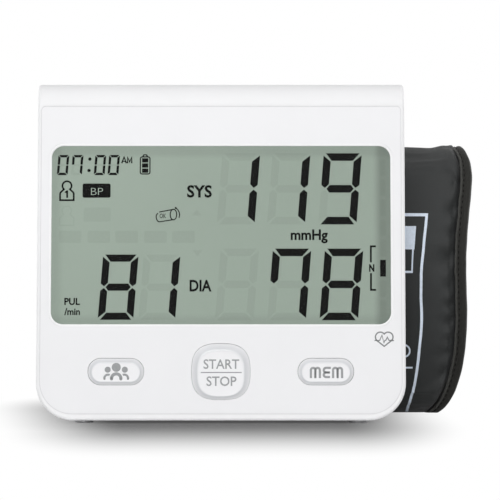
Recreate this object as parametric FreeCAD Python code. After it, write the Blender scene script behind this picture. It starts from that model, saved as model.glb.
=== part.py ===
import FreeCAD, Part
import math
import os

# A blood pressure monitor: a standing case with a display and three buttons, and an arm cuff that
# stands behind it as a flattened loop. Millimetres, +Z up. The origin lies on the table under the
# middle of the case, +X is to the right of the face, and the face looks towards -Y.

Vector = FreeCAD.Vector
X_AXIS = Vector(1, 0, 0)
Y_AXIS = Vector(0, 1, 0)
Z_AXIS = Vector(0, 0, 1)

# One overrun serves every cut that runs past what it cuts
overrun = 30.0

# Case: a leaning front and back that meet in a round nose
case_height = 146.3
face_lean_deg = 6.0
nose_radius = 9.5
corner_radius = 16.0
edge_round = 1.2
wall = 2.4
rib_root = 1.0

# Feet
foot_height = 1.2
foot_radius = 4.0
foot_seat_depth = 0.8
foot_side_inset = 20.5
foot_end_inset = 8.5

# Front panel, let into the case; heights on the face are measured up the slope from its lower edge
panel_thickness = 2.0
panel_side_rim = 1.6
panel_top_rim = 1.65
panel_bottom = 3.1
panel_bottom_radius = 14.0
panel_top_radius = 1.6
seam_gap = 0.4
ledge_width = 1.8
ledge_thickness = 1.4
opening_top_radius = 1.0

# Display
window_width = 147.5
window_side_border = 6.25
button_window_room = 8.55
brow_height = 17.2
window_radius = 4.8
window_bevel = 1.0
lens_border = 1.5
lens_thickness = 1.2
glass_border = 2.2
glass_thickness = 2.4
holder_rim = 8.0
holder_radius = 2.0
strip_height = 2.5
strip_end_room = 12.0

# Buttons: the wide middle one is a superellipse, the two small ones have full round ends
start_width = 24.9
start_height = 23.9
start_squareness = 2.8
start_points = 48
small_width = 23.8
small_height = 11.2
small_round_share = 0.98
small_spacing = 45.4
button_row = 21.2
button_gap = 0.3
button_proud = 1.1
button_round = 0.8
button_travel = 0.8
flange_width = 1.2
flange_thickness = 1.0
flange_play = 0.1
button_stem_radius = 2.2
button_stem_length = 0.6

# Main board, its posts, screws and switches
board_thickness = 1.6
board_side_room = 12.0
board_bottom = 6.0
board_top_room = 7.9
board_post_radius = 2.6
board_post_inset = 8.0
board_post_low = 12.0
board_post_drop = 4.0
board_screw_radius = 1.0
board_screw_grip = 4.0
board_screw_head_radius = 1.9
board_screw_head = 1.3
screw_hole_clearance = 0.1
switch_size = 6.2
switch_height = 3.4
plunger_radius = 1.7
plunger_length = 2.9
plunger_proud = 0.9
plunger_clearance = 0.1
chip_sizes = ((14.0, 14.0, 1.6), (8.0, 6.0, 1.4), (5.0, 4.0, 1.2))
chip_insets = ((48.0, 37.0), (24.0, 45.0), (24.0, 31.0))
buzzer_radius = 6.0
buzzer_height = 4.0
buzzer_inset = 48.0
buzzer_drop = 29.0

# Case screws, in deep wells from the back
case_screw_inset = 7.4
case_screw_rise = 7.7
case_screw_drop = 10.9
case_post_radius = 3.2
case_post_end = 9.0
case_seat_depth = 18.0
case_screw_radius = 1.3
case_screw_grip = 6.0
case_screw_head_radius = 2.4
case_screw_head = 1.8
case_well_radius = 2.8
case_well_wall = 1.4

# Batteries, tray and door; the cells lie along X in two rows
cell_radius = 7.25
cell_length = 49.5
nub_radius = 2.75
nub_length = 1.0
cell_gap = 0.3
spring_length = 4.5
spring_wide_radius = 4.0
spring_narrow_radius = 2.0
contact_thickness = 0.4
contact_width = 10.0
tray_wall = 1.0
tray_front_room = 15.85
tray_back_room = 3.75
tray_side_room = 26.85
door_thickness = 2.2
door_gap = 0.3
door_pin_radius = 0.7
door_pin_length = 1.8
door_pin_clearance = 0.05
grip_length = 22.0
grip_width = 5.0
grip_depth = 0.8

# Pump, lying along X on the battery tray
pump_offset = 1.85
pump_radius = 12.0
motor_to_outlet = 14.0
motor_length = 40.0
motor_shell = 1.2
motor_cap = 3.0
rotor_air_gap = 1.3
rotor_end_room = 1.5
shaft_radius = 1.0
shaft_clearance = 0.05
shaft_tail = 2.0
pump_head_length = 20.0
boot_thickness = 1.2
boot_margin = 4.0
pump_rib_shares = (0.25, 0.75)
pump_rib_thickness = 3.0
pump_rib_rise = 8.0

# Air passages
nipple_radius = 1.6
nipple_bore = 0.8
nipple_share = 0.44
tube_wall = 1.1
manifold_inset = 36.0
manifold_rise = 23.0
manifold_length = 12.0
manifold_size = 10.0
outlet_boss = 1.5
outlet_boss_radius = 4.0
sensor_size = 9.0
sensor_height = 5.0
socket_radius = 5.5
socket_bore = 3.0
socket_depth = 14.0
socket_length = 18.0
socket_flange_radius = 7.5
socket_flange = 1.5
valve_tube_run = 8.0
valve_length = 18.0
valve_size = 11.0
valve_core_radius = 2.0
valve_core_length = 9.0
valve_core_clearance = 0.1
valve_travel = 0.6
valve_rib_width = 6.0

# Power jack in the right side wall
jack_radius = 4.5
jack_bore = 2.75
jack_depth = 9.0
jack_length = 13.0
jack_pin_radius = 1.05
jack_flange_radius = 6.5
jack_flange = 1.5

# Electrode plates let into the side walls
plate_width = 12.0
plate_low_room = 16.2
plate_top_room = 29.5
plate_radius = 5.0
plate_thickness = 1.2
plate_middle_y = -2.0
plate_stud_radius = 1.5
plate_stud_length = 2.5

# Cuff: a loop of layers round an axis along X, an oval of four arcs seen from the side
cuff_room = 0.3
cuff_height = 122.0
cuff_loop_depth = 56.0
cuff_fold_radius = 20.0
cuff_width = 146.0
cuff_right = 113.4
cuff_cover = 1.4
cuff_bladder = 2.2
cuff_lining = 1.2
cuff_tape = 0.5
binding_width = 7.2
cuff_upper_corner = 4.2
cuff_upper_drop = 12.0
cuff_waist = 2.6
cuff_lower_corner = 14.0
cuff_lower_rise = 42.0
corner_middle_share = 0.293
outline_margin = 1.0

# Cuff closure: a wire ring at the back of the loop, with the tail folded back over its lower bar
ring_wire_radius = 1.5
ring_half_length = 50.0
ring_half_height = 7.0
ring_corner_radius = 5.0
sleeve_clearance = 0.3
sleeve_cloth = 1.2
sleeve_half_length = 42.0
sleeve_end_room = 0.3
fastener_pile = 0.8
pile_clearance = 0.05
tail_end_height = 12.0
patch_margin = 3.0
port_inset = 24.6
port_rise = 34.0
port_radius = 7.0
port_flange = 1.2
port_boss_radius = 4.0
port_nipple_radius = 2.2
port_nipple_length = 8.0
port_bore = 1.2

# Values worked out from the sizes above
lean = math.radians(face_lean_deg)
lean_sin = math.sin(lean)
lean_cos = math.cos(lean)
tray_half_length = cell_length + nub_length + (spring_length + 2 * contact_thickness) / 2
tray_half_width = (4 * cell_radius + 3 * cell_gap) / 2
case_width = max(window_width + 2 * window_side_border, 2 * (tray_half_length + tray_side_room))
base_z = foot_height
top_z = base_z + case_height
cell_z = base_z + wall + cell_gap + cell_radius
tray_top = cell_z + cell_radius + cell_gap + tray_wall
nose_z = top_z - nose_radius
nose_reach = (nose_z - base_z) * math.tan(lean) + nose_radius / lean_cos
tray_reach = tray_front_room + 2 * tray_half_width + tray_back_room
back_span = math.hypot(nose_reach - tray_reach, nose_z - tray_top)
back_angle = math.atan2(nose_z - tray_top, nose_reach - tray_reach) - math.asin(nose_radius / back_span)
case_depth = tray_reach - (tray_top - base_z) / math.tan(back_angle)
face_y = -case_depth / 2
back_y = case_depth / 2
nose_y = face_y + nose_reach
back_normal = Vector(0, math.sin(back_angle), -math.cos(back_angle))
foot_x = case_width / 2 - foot_side_inset
foot_y = case_depth / 2 - foot_end_inset
panel_half_width = case_width / 2 - panel_side_rim - seam_gap / 2
panel_top = (nose_z - base_z) / lean_cos + nose_radius * math.tan(lean) - panel_top_rim
chin_height = button_row + start_height / 2 + button_window_room
window_height = panel_top - brow_height - chin_height
window_middle = chin_height + window_height / 2
board_half_width = case_width / 2 - board_side_room
board_top = panel_top - board_top_room
board_post_x = board_half_width - board_post_inset
board_post_high = board_top - board_post_drop
case_screw_x = case_width / 2 - case_screw_inset
case_screw_low = chin_height - case_screw_rise
case_screw_high = panel_top - case_screw_drop
glass_back = panel_thickness + glass_thickness
flange_front = panel_thickness + flange_play
flange_back = flange_front + flange_thickness
board_depth = flange_back + button_stem_length + plunger_proud + switch_height
board_back = board_depth + board_thickness
tray_middle_y = face_y + tray_front_room + tray_half_width
boot_radius = pump_radius + boot_thickness
rotor_radius = pump_radius - motor_shell - rotor_air_gap
pump_y = tray_middle_y - pump_offset
pump_z = tray_top + boot_radius
manifold_x = manifold_inset - case_width / 2
motor_left = manifold_x + motor_to_outlet
valve_left = manifold_x + manifold_length / 2 + valve_tube_run
pump_head_left = motor_left - pump_head_length
pump_depth = (pump_y - face_y) * lean_cos - (pump_z - base_z) * lean_sin
pump_up = (pump_y - face_y) * lean_sin + (pump_z - base_z) * lean_cos
air_up = pump_up + manifold_rise
air_y = pump_y + manifold_rise * lean_sin
air_z = pump_z + manifold_rise * lean_cos
plate_height = top_z - plate_top_room - air_z - plate_low_room
plate_middle_z = air_z + plate_low_room + plate_height / 2
cuff_stack = cuff_cover + cuff_bladder + cuff_lining + 2 * cuff_tape
cuff_y = back_y + cuff_room + cuff_loop_depth / 2
cuff_z = cuff_height / 2
cuff_x = cuff_right - cuff_width / 2
port_x = cuff_right - cuff_width + port_inset
ring_y = cuff_y + cuff_loop_depth / 2 - cuff_stack / 2
sleeve_radius = ring_wire_radius + sleeve_clearance + sleeve_cloth
door_axis_y = tray_middle_y - tray_half_width + door_gap + door_thickness / 2
door_axis_z = base_z + door_thickness / 2


def face_placement(point):
    """A frame with the face's tilt: local x is +X, local y runs up the face, local z out of it."""
    return FreeCAD.Placement(point, FreeCAD.Rotation(X_AXIS, 90 - face_lean_deg))


FACE = face_placement(Vector(0, face_y, base_z))
PUMP = face_placement(Vector(0, pump_y, pump_z))


def placed(shape, placement):
    """The shape moved from a local frame into the frame of the whole object."""
    moved = shape.copy()
    moved.Placement = placement.multiply(moved.Placement)
    return moved


def block(x0, x1, y0, y1, z0, z1):
    """A box between two limits along each axis."""
    return Part.makeBox(x1 - x0, y1 - y0, z1 - z0, Vector(x0, y0, z0))


def rod(start, axis, radius, length):
    """A round bar from a point along an axis."""
    return Part.makeCylinder(radius, length, start, axis)


def pipe(start, axis, radius, bore, length):
    """A round bar with a bore right through it."""
    return rod(start, axis, radius, length).cut(rod(start, axis, bore, length))


def union(shapes):
    """All the shapes joined into one solid."""
    joined = shapes[0]
    for shape in shapes[1:]:
        joined = joined.fuse(shape)
    return joined.removeSplitter()


def without(shape, cutters):
    """The shape with each cutter taken away."""
    for cutter in cutters:
        shape = shape.cut(cutter)
    return shape


def arc(start, middle, end):
    """An edge along the circle through three points."""
    return Part.Arc(start, middle, end).toShape()


def rounded_wire(left, right, bottom, top, low_radius, high_radius, height):
    """A rectangle in the local XY plane, with one radius at its lower corners and one at its upper ones."""
    corners = ((right, top, high_radius, 0), (left, top, high_radius, 90),
               (left, bottom, low_radius, 180), (right, bottom, low_radius, 270))
    ends = []
    arcs = []
    for x, y, radius, turn in corners:
        side_x = math.copysign(radius, x - (left + right) / 2)
        side_y = math.copysign(radius, y - (bottom + top) / 2)
        centre = Vector(x - side_x, y - side_y, height)
        points = []
        for step_deg in (0, 45, 90):
            angle = math.radians(turn + step_deg)
            points.append(centre + Vector(radius * math.cos(angle), radius * math.sin(angle), 0))
        arcs.append(arc(*points))
        ends.append((points[0], points[2]))
    edges = []
    for index, curve in enumerate(arcs):
        edges.append(curve)
        edges.append(Part.makeLine(ends[index][1], ends[(index + 1) % len(ends)][0]))
    return Part.Wire(Part.__sortEdges__(edges))


def prism(wire, height):
    """A flat closed wire raised along local z."""
    return Part.Face(wire).extrude(Vector(0, 0, height))


def face_plate(half_width, bottom, top, low_radius, high_radius, depth, thickness):
    """A rounded plate lying in the face's tilt, its front face at a depth behind the face."""
    wire = rounded_wire(-half_width, half_width, bottom, top, low_radius, high_radius, -depth - thickness)
    return placed(prism(wire, thickness), FACE)


def face_rod(across, up, depth, radius, length):
    """A round bar square to the face that starts at a depth and runs inwards."""
    return placed(rod(Vector(across, up, -depth), -Z_AXIS, radius, length), FACE)


def face_block(across, up, width, height, depth, thickness):
    """A box square to the face, centred across and up, its front at a depth."""
    left = across - width / 2
    low = up - height / 2
    shape = block(left, left + width, low, low + height, -depth - thickness, -depth)
    return placed(shape, FACE)


def side_profile(inset):
    """The case from the side, drawn in by an inset: leaning front, round nose, leaning back, flat bottom."""
    radius = nose_radius - inset
    low = base_z + inset
    nose = Vector(0, nose_y, nose_z)
    front_low = Vector(0, face_y + inset * math.tan(lean) + inset / lean_cos, low)
    front_high = nose + Vector(0, -lean_cos, lean_sin) * radius
    back_high = nose + back_normal * radius
    back_run = (low - back_high.z) / math.sin(back_angle)
    back_low = Vector(0, back_high.y + back_run * math.cos(back_angle), low)
    edges = [Part.makeLine(front_low, front_high),
             arc(front_high, nose + Z_AXIS * radius, back_high),
             Part.makeLine(back_high, back_low),
             Part.makeLine(back_low, front_low)]
    return Part.Face(Part.Wire(edges))


def case_solid(inset):
    """The case's outer form drawn in by an inset: the side profile cut to the front outline."""
    half = case_width / 2 - inset
    long_body = side_profile(inset).extrude(X_AXIS * (2 * half))
    long_body.translate(Vector(-half, 0, 0))
    low = base_z + inset
    radius = corner_radius - inset
    outline = rounded_wire(-half, half, low, top_z + overrun, radius, radius, -back_y - overrun)
    front_body = prism(outline, case_depth + 2 * overrun)
    front_body.rotate(Vector(0, 0, 0), X_AXIS, 90)
    return long_body.common(front_body)


def sharp_edges(solid):
    """The edges where two faces meet at an angle, found from the faces' normals at the edge's middle."""
    found = []
    for edge in solid.Edges:
        middle = edge.valueAt((edge.FirstParameter + edge.LastParameter) / 2)
        normals = []
        for face in solid.ancestorsOfType(edge, Part.Face):
            normals.append(face.normalAt(*face.Surface.parameter(middle)))
        if len(normals) == 2 and abs(normals[0].dot(normals[1])) < lean_cos * lean_cos:
            found.append(edge)
    return found


def panel_plate(offset, top_radius, depth, thickness):
    """The front panel's outline, grown by an offset, as a plate at a depth behind the face."""
    return face_plate(panel_half_width + offset, panel_bottom - offset, panel_top + offset,
                      panel_bottom_radius + offset, top_radius, depth, thickness)


def window_wire(border, radius, depth):
    """The display window's outline grown by a border, at a depth behind the face."""
    half = window_width / 2 + border
    low = window_middle - window_height / 2 - border
    high = window_middle + window_height / 2 + border
    return rounded_wire(-half, half, low, high, radius, radius, -depth)


def window_plate(border, depth, thickness):
    """A plate with the window's outline grown by a border."""
    return placed(prism(window_wire(border, window_radius + border, depth + thickness), thickness), FACE)


def superellipse_wire(half_width, half_height, height):
    """A closed smooth curve with |x/a|^n + |y/b|^n = 1 about the origin."""
    points = []
    for index in range(start_points):
        angle = 2 * math.pi * index / start_points
        cosine = math.cos(angle)
        sine = math.sin(angle)
        x = math.copysign(abs(cosine) ** (2 / start_squareness), cosine) * half_width
        y = math.copysign(abs(sine) ** (2 / start_squareness), sine) * half_height
        points.append(Vector(x, y, height))
    curve = Part.BSplineCurve()
    curve.interpolate(points, PeriodicFlag=True)
    return Part.Wire(curve.toShape())


def small_wire(half_width, half_height, height):
    """A slot outline about the origin: two straight sides with nearly full round ends."""
    radius = half_height * small_round_share
    return rounded_wire(-half_width, half_width, -half_height, half_height, radius, radius, height)


BUTTONS = (("start_stop", 0, superellipse_wire, start_width / 2, start_height / 2),
           ("user", -small_spacing, small_wire, small_width / 2, small_height / 2),
           ("memory", small_spacing, small_wire, small_width / 2, small_height / 2))


def button_prism(button, grow, depth, thickness):
    """A button's outline, grown by a margin, as a plate at a depth behind the face."""
    name, across, outline, half_width, half_height = button
    shape = prism(outline(half_width + grow, half_height + grow, -depth - thickness), thickness)
    shape.translate(Vector(across, button_row, 0))
    return placed(shape, FACE)


def make_button(button):
    """A push button: a rounded cap through the panel, a flange behind it and a stem to its switch."""
    name, across, outline, half_width, half_height = button
    cap = prism(outline(half_width, half_height, -flange_back), flange_back + button_proud)
    top_edges = [edge for edge in cap.Edges if abs(edge.BoundBox.ZMin - button_proud) < flange_play]
    cap = cap.makeFillet(button_round, top_edges)
    cap.translate(Vector(across, button_row, 0))
    flange = button_prism(button, flange_width, flange_front, flange_thickness)
    stem = face_rod(across, button_row, flange_back - flange_play, button_stem_radius,
                    button_stem_length + flange_play)
    return union([placed(cap, FACE), flange, stem])


def make_switch_parts():
    """The three switch bodies on the board, and each one's plunger."""
    bodies = []
    plungers = {}
    top = board_depth - switch_height
    for name, across, *rest in BUTTONS:
        body = face_block(across, button_row, switch_size, switch_size, top, switch_height)
        well_depth = plunger_length - plunger_proud + button_travel + plunger_clearance
        well = face_rod(across, button_row, top, plunger_radius + plunger_clearance, well_depth)
        bodies.append(body.cut(well))
        plungers[name + "_switch_plunger"] = face_rod(across, button_row, top - plunger_proud,
                                                      plunger_radius, plunger_length)
    return Part.makeCompound(bodies), plungers


def screw_places():
    """The four case screws, across and up the face."""
    return [(side * case_screw_x, up) for side in (-1, 1) for up in (case_screw_low, case_screw_high)]


def board_screw_places():
    """The four board screws, across and up the face."""
    return [(side * board_post_x, up) for side in (-1, 1) for up in (board_post_low, board_post_high)]


def make_front_panel():
    """The inset panel: window with a bevelled edge and a seat for the lens, button holes and posts behind."""
    panel = panel_plate(0, panel_top_radius, 0, panel_thickness)
    lip = panel_thickness - lens_thickness
    outer_edge = window_wire(window_bevel, window_radius + window_bevel, 0)
    bevel = Part.makeLoft([outer_edge, window_wire(0, window_radius, lip)], True, True)
    cutters = [placed(bevel, FACE),
               window_plate(0, 0, panel_thickness),
               window_plate(lens_border, lip, lens_thickness)]
    for button in BUTTONS:
        cutters.append(button_prism(button, button_gap, -overrun, panel_thickness + 2 * overrun))
    panel = without(panel, cutters)
    for across, up in screw_places():
        post = face_rod(across, up, panel_thickness, case_post_radius, case_post_end - panel_thickness)
        hole = face_rod(across, up, case_post_end - case_screw_grip, case_screw_radius, case_screw_grip)
        panel = union([panel, post]).cut(hole)
    for across, up in board_screw_places():
        post = face_rod(across, up, panel_thickness, board_post_radius, board_depth - panel_thickness)
        hole = face_rod(across, up, board_depth - board_screw_grip, board_screw_radius, board_screw_grip)
        panel = union([panel, post]).cut(hole)
    return panel


def make_case_screws():
    """Four pan-head screws that hold the panel's posts to the wells of the rear housing."""
    screws = []
    for across, up in screw_places():
        head = face_rod(across, up, case_seat_depth, case_screw_head_radius, case_screw_head)
        start = case_post_end - case_screw_grip
        shank = face_rod(across, up, start, case_screw_radius, case_seat_depth - start)
        screws.append(union([head, shank]))
    return Part.makeCompound(screws)


def make_board_screws():
    """Four small screws that hold the board to the panel's posts."""
    screws = []
    for across, up in board_screw_places():
        head = face_rod(across, up, board_back, board_screw_head_radius, board_screw_head)
        start = board_depth - board_screw_grip
        shank = face_rod(across, up, start, board_screw_radius, board_back - start)
        screws.append(union([head, shank]))
    return Part.makeCompound(screws)


def tray_room(z0, z1, grow):
    """The battery space's footprint between two heights, grown by a margin."""
    return block(-tray_half_length - grow, tray_half_length + grow, tray_middle_y - tray_half_width - grow,
                 tray_middle_y + tray_half_width + grow, z0, z1)


def door_pin(side, radius, length):
    """One hinge pin of the battery door, or its hole, running out past the side of the door's opening."""
    start = side * (tray_half_length - door_gap)
    return rod(Vector(start, door_axis_y, door_axis_z), X_AXIS * side, radius, length)


def make_rear_housing():
    """The tub of the case: one shell with the panel's ledge, screw wells, pump and valve ribs and seats."""
    outer = case_solid(0)
    outer = outer.makeFillet(edge_round, sharp_edges(outer))
    front_depth = panel_thickness + ledge_thickness
    front_slab = block(-case_width, case_width, -case_height, 2 * case_height, -front_depth, overrun)
    inner = case_solid(wall).cut(placed(front_slab, FACE))
    opening = panel_plate(-ledge_width, opening_top_radius, -overrun, front_depth + 2 * overrun)
    opening = opening.common(placed(block(-case_width, case_width, -case_height, 2 * case_height,
                                          -front_depth - wall, overrun), FACE))
    recess = panel_plate(seam_gap, panel_top_radius + seam_gap, -overrun, panel_thickness + overrun)
    shell = without(outer, [inner, opening, recess])
    rooted = case_solid(wall - rib_root)
    additions = []
    cutters = [tray_room(base_z - overrun, base_z + wall + rib_root, 0)]
    for across, up in screw_places():
        well = face_rod(across, up, case_post_end, case_well_radius + case_well_wall, case_depth)
        additions.append(well.common(rooted))
        cutters.append(face_rod(across, up, case_post_end - rib_root,
                                case_screw_radius + screw_hole_clearance, case_depth))
        cutters.append(face_rod(across, up, case_seat_depth, case_well_radius, case_depth))
    for share in pump_rib_shares:
        place = motor_left + share * motor_length
        rib = block(place - pump_rib_thickness / 2, place + pump_rib_thickness / 2, pump_y, back_y,
                    tray_top, pump_z + pump_rib_rise)
        rib = rib.common(rooted)
        boot_room = rod(Vector(-case_width, pump_y, pump_z), X_AXIS, boot_radius, 2 * case_width)
        additions.append(rib.cut(boot_room))
    valve_middle = valve_left + valve_length / 2
    valve_rib = block(valve_middle - valve_rib_width / 2, valve_middle + valve_rib_width / 2,
                      manifold_rise - valve_size / 2, manifold_rise + valve_size / 2,
                      -case_depth, -valve_size / 2)
    additions.append(placed(valve_rib, PUMP).common(rooted))
    shell = union([shell] + additions)
    for side in (-1, 1):
        cutters.append(door_pin(side, door_pin_radius + door_pin_clearance, door_pin_length + 2 * door_gap))
        for foot_side in (-1, 1):
            cutters.append(rod(Vector(side * foot_x, foot_side * foot_y, base_z - overrun), Z_AXIS,
                               foot_radius, foot_seat_depth + overrun))
        cutters.append(make_electrode(side))
    cutters.append(rod(Vector(-case_width, air_y, air_z), X_AXIS, socket_radius, case_width / 2 + overrun))
    cutters.append(rod(Vector(case_width, air_y, air_z), -X_AXIS, jack_radius, case_width / 2 + overrun))
    return without(shell, cutters)


def make_electrode(side):
    """A metal touch plate let into a side wall, with a stud through the wall."""
    wire = rounded_wire(-plate_width / 2, plate_width / 2, -plate_height / 2, plate_height / 2,
                        plate_radius, plate_radius, case_width / 2 - plate_thickness)
    plate = prism(wire, plate_thickness)
    stud_start = Vector(0, 0, case_width / 2 - plate_thickness - plate_stud_length)
    stud = rod(stud_start, Z_AXIS, plate_stud_radius, plate_stud_length + plate_thickness / 2)
    plate = union([plate, stud])
    plate.rotate(Vector(0, 0, 0), Z_AXIS, 90)
    plate.rotate(Vector(0, 0, 0), Y_AXIS, side * 90)
    plate.translate(Vector(0, plate_middle_y, plate_middle_z))
    return plate


def make_feet():
    """Four round rubber feet let into the bottom of the case."""
    feet = []
    for side in (-1, 1):
        for foot_side in (-1, 1):
            feet.append(rod(Vector(side * foot_x, foot_side * foot_y, 0), Z_AXIS, foot_radius,
                            foot_height + foot_seat_depth))
    return Part.makeCompound(feet)


def make_tray():
    """The battery tray: an open-bottomed box that stands on the floor of the rear housing."""
    floor = base_z + wall
    return tray_room(floor, tray_top, tray_wall).cut(tray_room(floor - overrun, tray_top - tray_wall, 0))


def cell_row_y(row):
    """The middle of a row of cells: row -1 is at the front, row 1 at the back."""
    return tray_middle_y + row * (cell_radius + cell_gap / 2)


def make_cells():
    """Four cells, two in each row; the back row points the other way."""
    cells = []
    whole = cell_length + nub_length
    for row in (-1, 1):
        start = -row * (-tray_half_length + contact_thickness + spring_length)
        direction = X_AXIS * -row
        for index in range(2):
            low = Vector(start - row * whole * index, cell_row_y(row), cell_z)
            barrel = rod(low, direction, cell_radius, cell_length)
            nub = rod(low + direction * cell_length, direction, nub_radius, nub_length)
            cells.append(union([barrel, nub]))
    return Part.makeCompound(cells)


def make_contacts():
    """Four contact plates at the tray's ends; the two at the cells' flat ends carry a tapered spring."""
    contacts = []
    for row in (-1, 1):
        for end in (-1, 1):
            inner = end * (tray_half_length - contact_thickness)
            low_x = min(inner, end * tray_half_length)
            plate = block(low_x, low_x + contact_thickness, cell_row_y(row) - contact_width / 2,
                          cell_row_y(row) + contact_width / 2, cell_z - contact_width / 2,
                          cell_z + contact_width / 2)
            if end == row:
                spring = Part.makeCone(spring_wide_radius, spring_narrow_radius, spring_length,
                                       Vector(inner, cell_row_y(row), cell_z), X_AXIS * -end)
                plate = union([plate, spring])
            contacts.append(plate)
    return Part.makeCompound(contacts)


def make_door():
    """The battery door: a plate with a round hinge edge, two pins and a finger grip under its free edge."""
    low_y = tray_middle_y - tray_half_width + door_gap
    high_y = tray_middle_y + tray_half_width - door_gap
    half = tray_half_length - door_gap
    plate = block(-half, half, door_axis_y, high_y, base_z, base_z + door_thickness)
    edge = rod(Vector(-half, low_y + door_thickness / 2, door_axis_z), X_AXIS, door_thickness / 2, 2 * half)
    pins = [door_pin(side, door_pin_radius, door_pin_length + door_gap) for side in (-1, 1)]
    grip = block(-grip_length / 2, grip_length / 2, high_y - grip_width, high_y + overrun,
                 base_z - overrun, base_z + grip_depth)
    return union([plate, edge] + pins).cut(grip)


def make_pump():
    """The pump's motor can, its rotor with the shaft, its head, and the rubber boot round the can."""
    axis = Vector(0, pump_y, pump_z)
    can = rod(axis + X_AXIS * motor_left, X_AXIS, pump_radius, motor_length)
    hollow = rod(axis + X_AXIS * (motor_left + motor_cap), X_AXIS, pump_radius - motor_shell,
                 motor_length - 2 * motor_cap)
    shaft_hole = rod(axis + X_AXIS * (motor_left - overrun), X_AXIS, shaft_radius + shaft_clearance,
                     motor_length + 2 * overrun)
    motor = without(can, [hollow, shaft_hole])
    drum_start = motor_left + motor_cap + rotor_end_room
    drum = rod(axis + X_AXIS * drum_start, X_AXIS, rotor_radius,
               motor_length - 2 * (motor_cap + rotor_end_room))
    shaft = rod(axis + X_AXIS * (motor_left - shaft_tail), X_AXIS, shaft_radius,
                motor_length + 2 * shaft_tail)
    rotor = union([drum, shaft])
    head = rod(axis + X_AXIS * pump_head_left, X_AXIS, pump_radius, pump_head_length)
    crank_room = rod(axis + X_AXIS * (motor_left - shaft_tail - motor_cap), X_AXIS,
                     pump_radius - motor_shell - motor_cap, shaft_tail + motor_cap)
    boss = rod(Vector(manifold_x, 0, 0), Y_AXIS, outlet_boss_radius, pump_radius + outlet_boss)
    head = union([head.cut(crank_room), placed(boss, PUMP).cut(crank_room)])
    boot = pipe(axis + X_AXIS * (motor_left + boot_margin), X_AXIS, boot_radius, pump_radius,
                motor_length - 2 * boot_margin)
    return motor, rotor, head, boot


def air_link(start, direction, gap):
    """Two facing nipples across a gap and the tube over them, in the pump's tilted frame."""
    length = gap * nipple_share
    first = pipe(start, direction, nipple_radius, nipple_bore, length)
    last = pipe(start + direction * (gap - length), direction, nipple_radius, nipple_bore, length)
    tube = pipe(start, direction, nipple_radius + tube_wall, nipple_radius, gap)
    return [placed(shape, PUMP) for shape in (first, last, tube)]


def make_air_system(pump_head):
    """Manifold, socket, sensor and valve, with a short tube from the manifold to each and to the pump."""
    half = manifold_size / 2
    left = manifold_x - manifold_length / 2
    right = manifold_x + manifold_length / 2
    middle = Vector(manifold_x, manifold_rise, 0)
    manifold = placed(block(left, right, manifold_rise - half, manifold_rise + half, -half, half), PUMP)
    socket_end = -case_width / 2 + socket_length
    outlet_top = pump_radius + outlet_boss
    sensor_back = pump_depth - board_back - sensor_height
    links = {
        "pump_tube": air_link(middle - Y_AXIS * half, -Y_AXIS, manifold_rise - half - outlet_top),
        "socket_tube": air_link(Vector(left, manifold_rise, 0), -X_AXIS, left - socket_end),
        "valve_tube": air_link(Vector(right, manifold_rise, 0), X_AXIS, valve_left - right),
        "sensor_tube": air_link(middle + Z_AXIS * half, Z_AXIS, sensor_back - half)}
    manifold = union([manifold] + [link[0] for link in links.values()])
    pieces = {name: link[2] for name, link in links.items()}
    pieces["air_manifold"] = manifold
    pieces["pump_head"] = union([pump_head, links["pump_tube"][1]])
    wall_face = -case_width / 2
    socket = union([
        rod(Vector(wall_face, air_y, air_z), X_AXIS, socket_radius, socket_length),
        rod(Vector(wall_face + wall, air_y, air_z), X_AXIS, socket_flange_radius, socket_flange),
        links["socket_tube"][1]])
    pieces["air_socket"] = socket.cut(rod(Vector(wall_face, air_y, air_z), X_AXIS, socket_bore, socket_depth))
    sensor = face_block(manifold_x, air_up, sensor_size, sensor_size, board_back, sensor_height)
    pieces["pressure_sensor"] = union([sensor, links["sensor_tube"][1]])
    valve = placed(block(valve_left, valve_left + valve_length, manifold_rise - valve_size / 2,
                         manifold_rise + valve_size / 2, -valve_size / 2, valve_size / 2), PUMP)
    core_start = valve_left + (valve_length - valve_core_length) / 2
    room_start = Vector(core_start - valve_core_clearance, manifold_rise, 0)
    core_room = rod(room_start, X_AXIS, valve_core_radius + valve_core_clearance,
                    valve_core_length + valve_travel + 2 * valve_core_clearance)
    pieces["exhaust_valve_body"] = union([valve, links["valve_tube"][1]]).cut(placed(core_room, PUMP))
    pieces["exhaust_valve_plunger"] = placed(rod(Vector(core_start, manifold_rise, 0), X_AXIS,
                                                 valve_core_radius, valve_core_length), PUMP)
    return pieces


def make_jack():
    """The power jack: a round socket in the right side wall with a centre pin."""
    mouth = Vector(case_width / 2, air_y, air_z)
    body = union([rod(mouth, -X_AXIS, jack_radius, jack_length),
                  rod(mouth - X_AXIS * wall, -X_AXIS, jack_flange_radius, jack_flange)])
    body = body.cut(rod(mouth, -X_AXIS, jack_bore, jack_depth))
    pin = rod(mouth - X_AXIS * (jack_bore / 2), -X_AXIS, jack_pin_radius, jack_depth)
    return union([body, pin])


def make_board():
    """The main board with holes for its screws."""
    board = face_plate(board_half_width, board_bottom, board_top, board_post_radius, board_post_radius,
                       board_depth, board_thickness)
    holes = [face_rod(across, up, board_depth - overrun, board_screw_radius + screw_hole_clearance,
                      board_thickness + 2 * overrun) for across, up in board_screw_places()]
    return without(board, holes)


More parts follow.
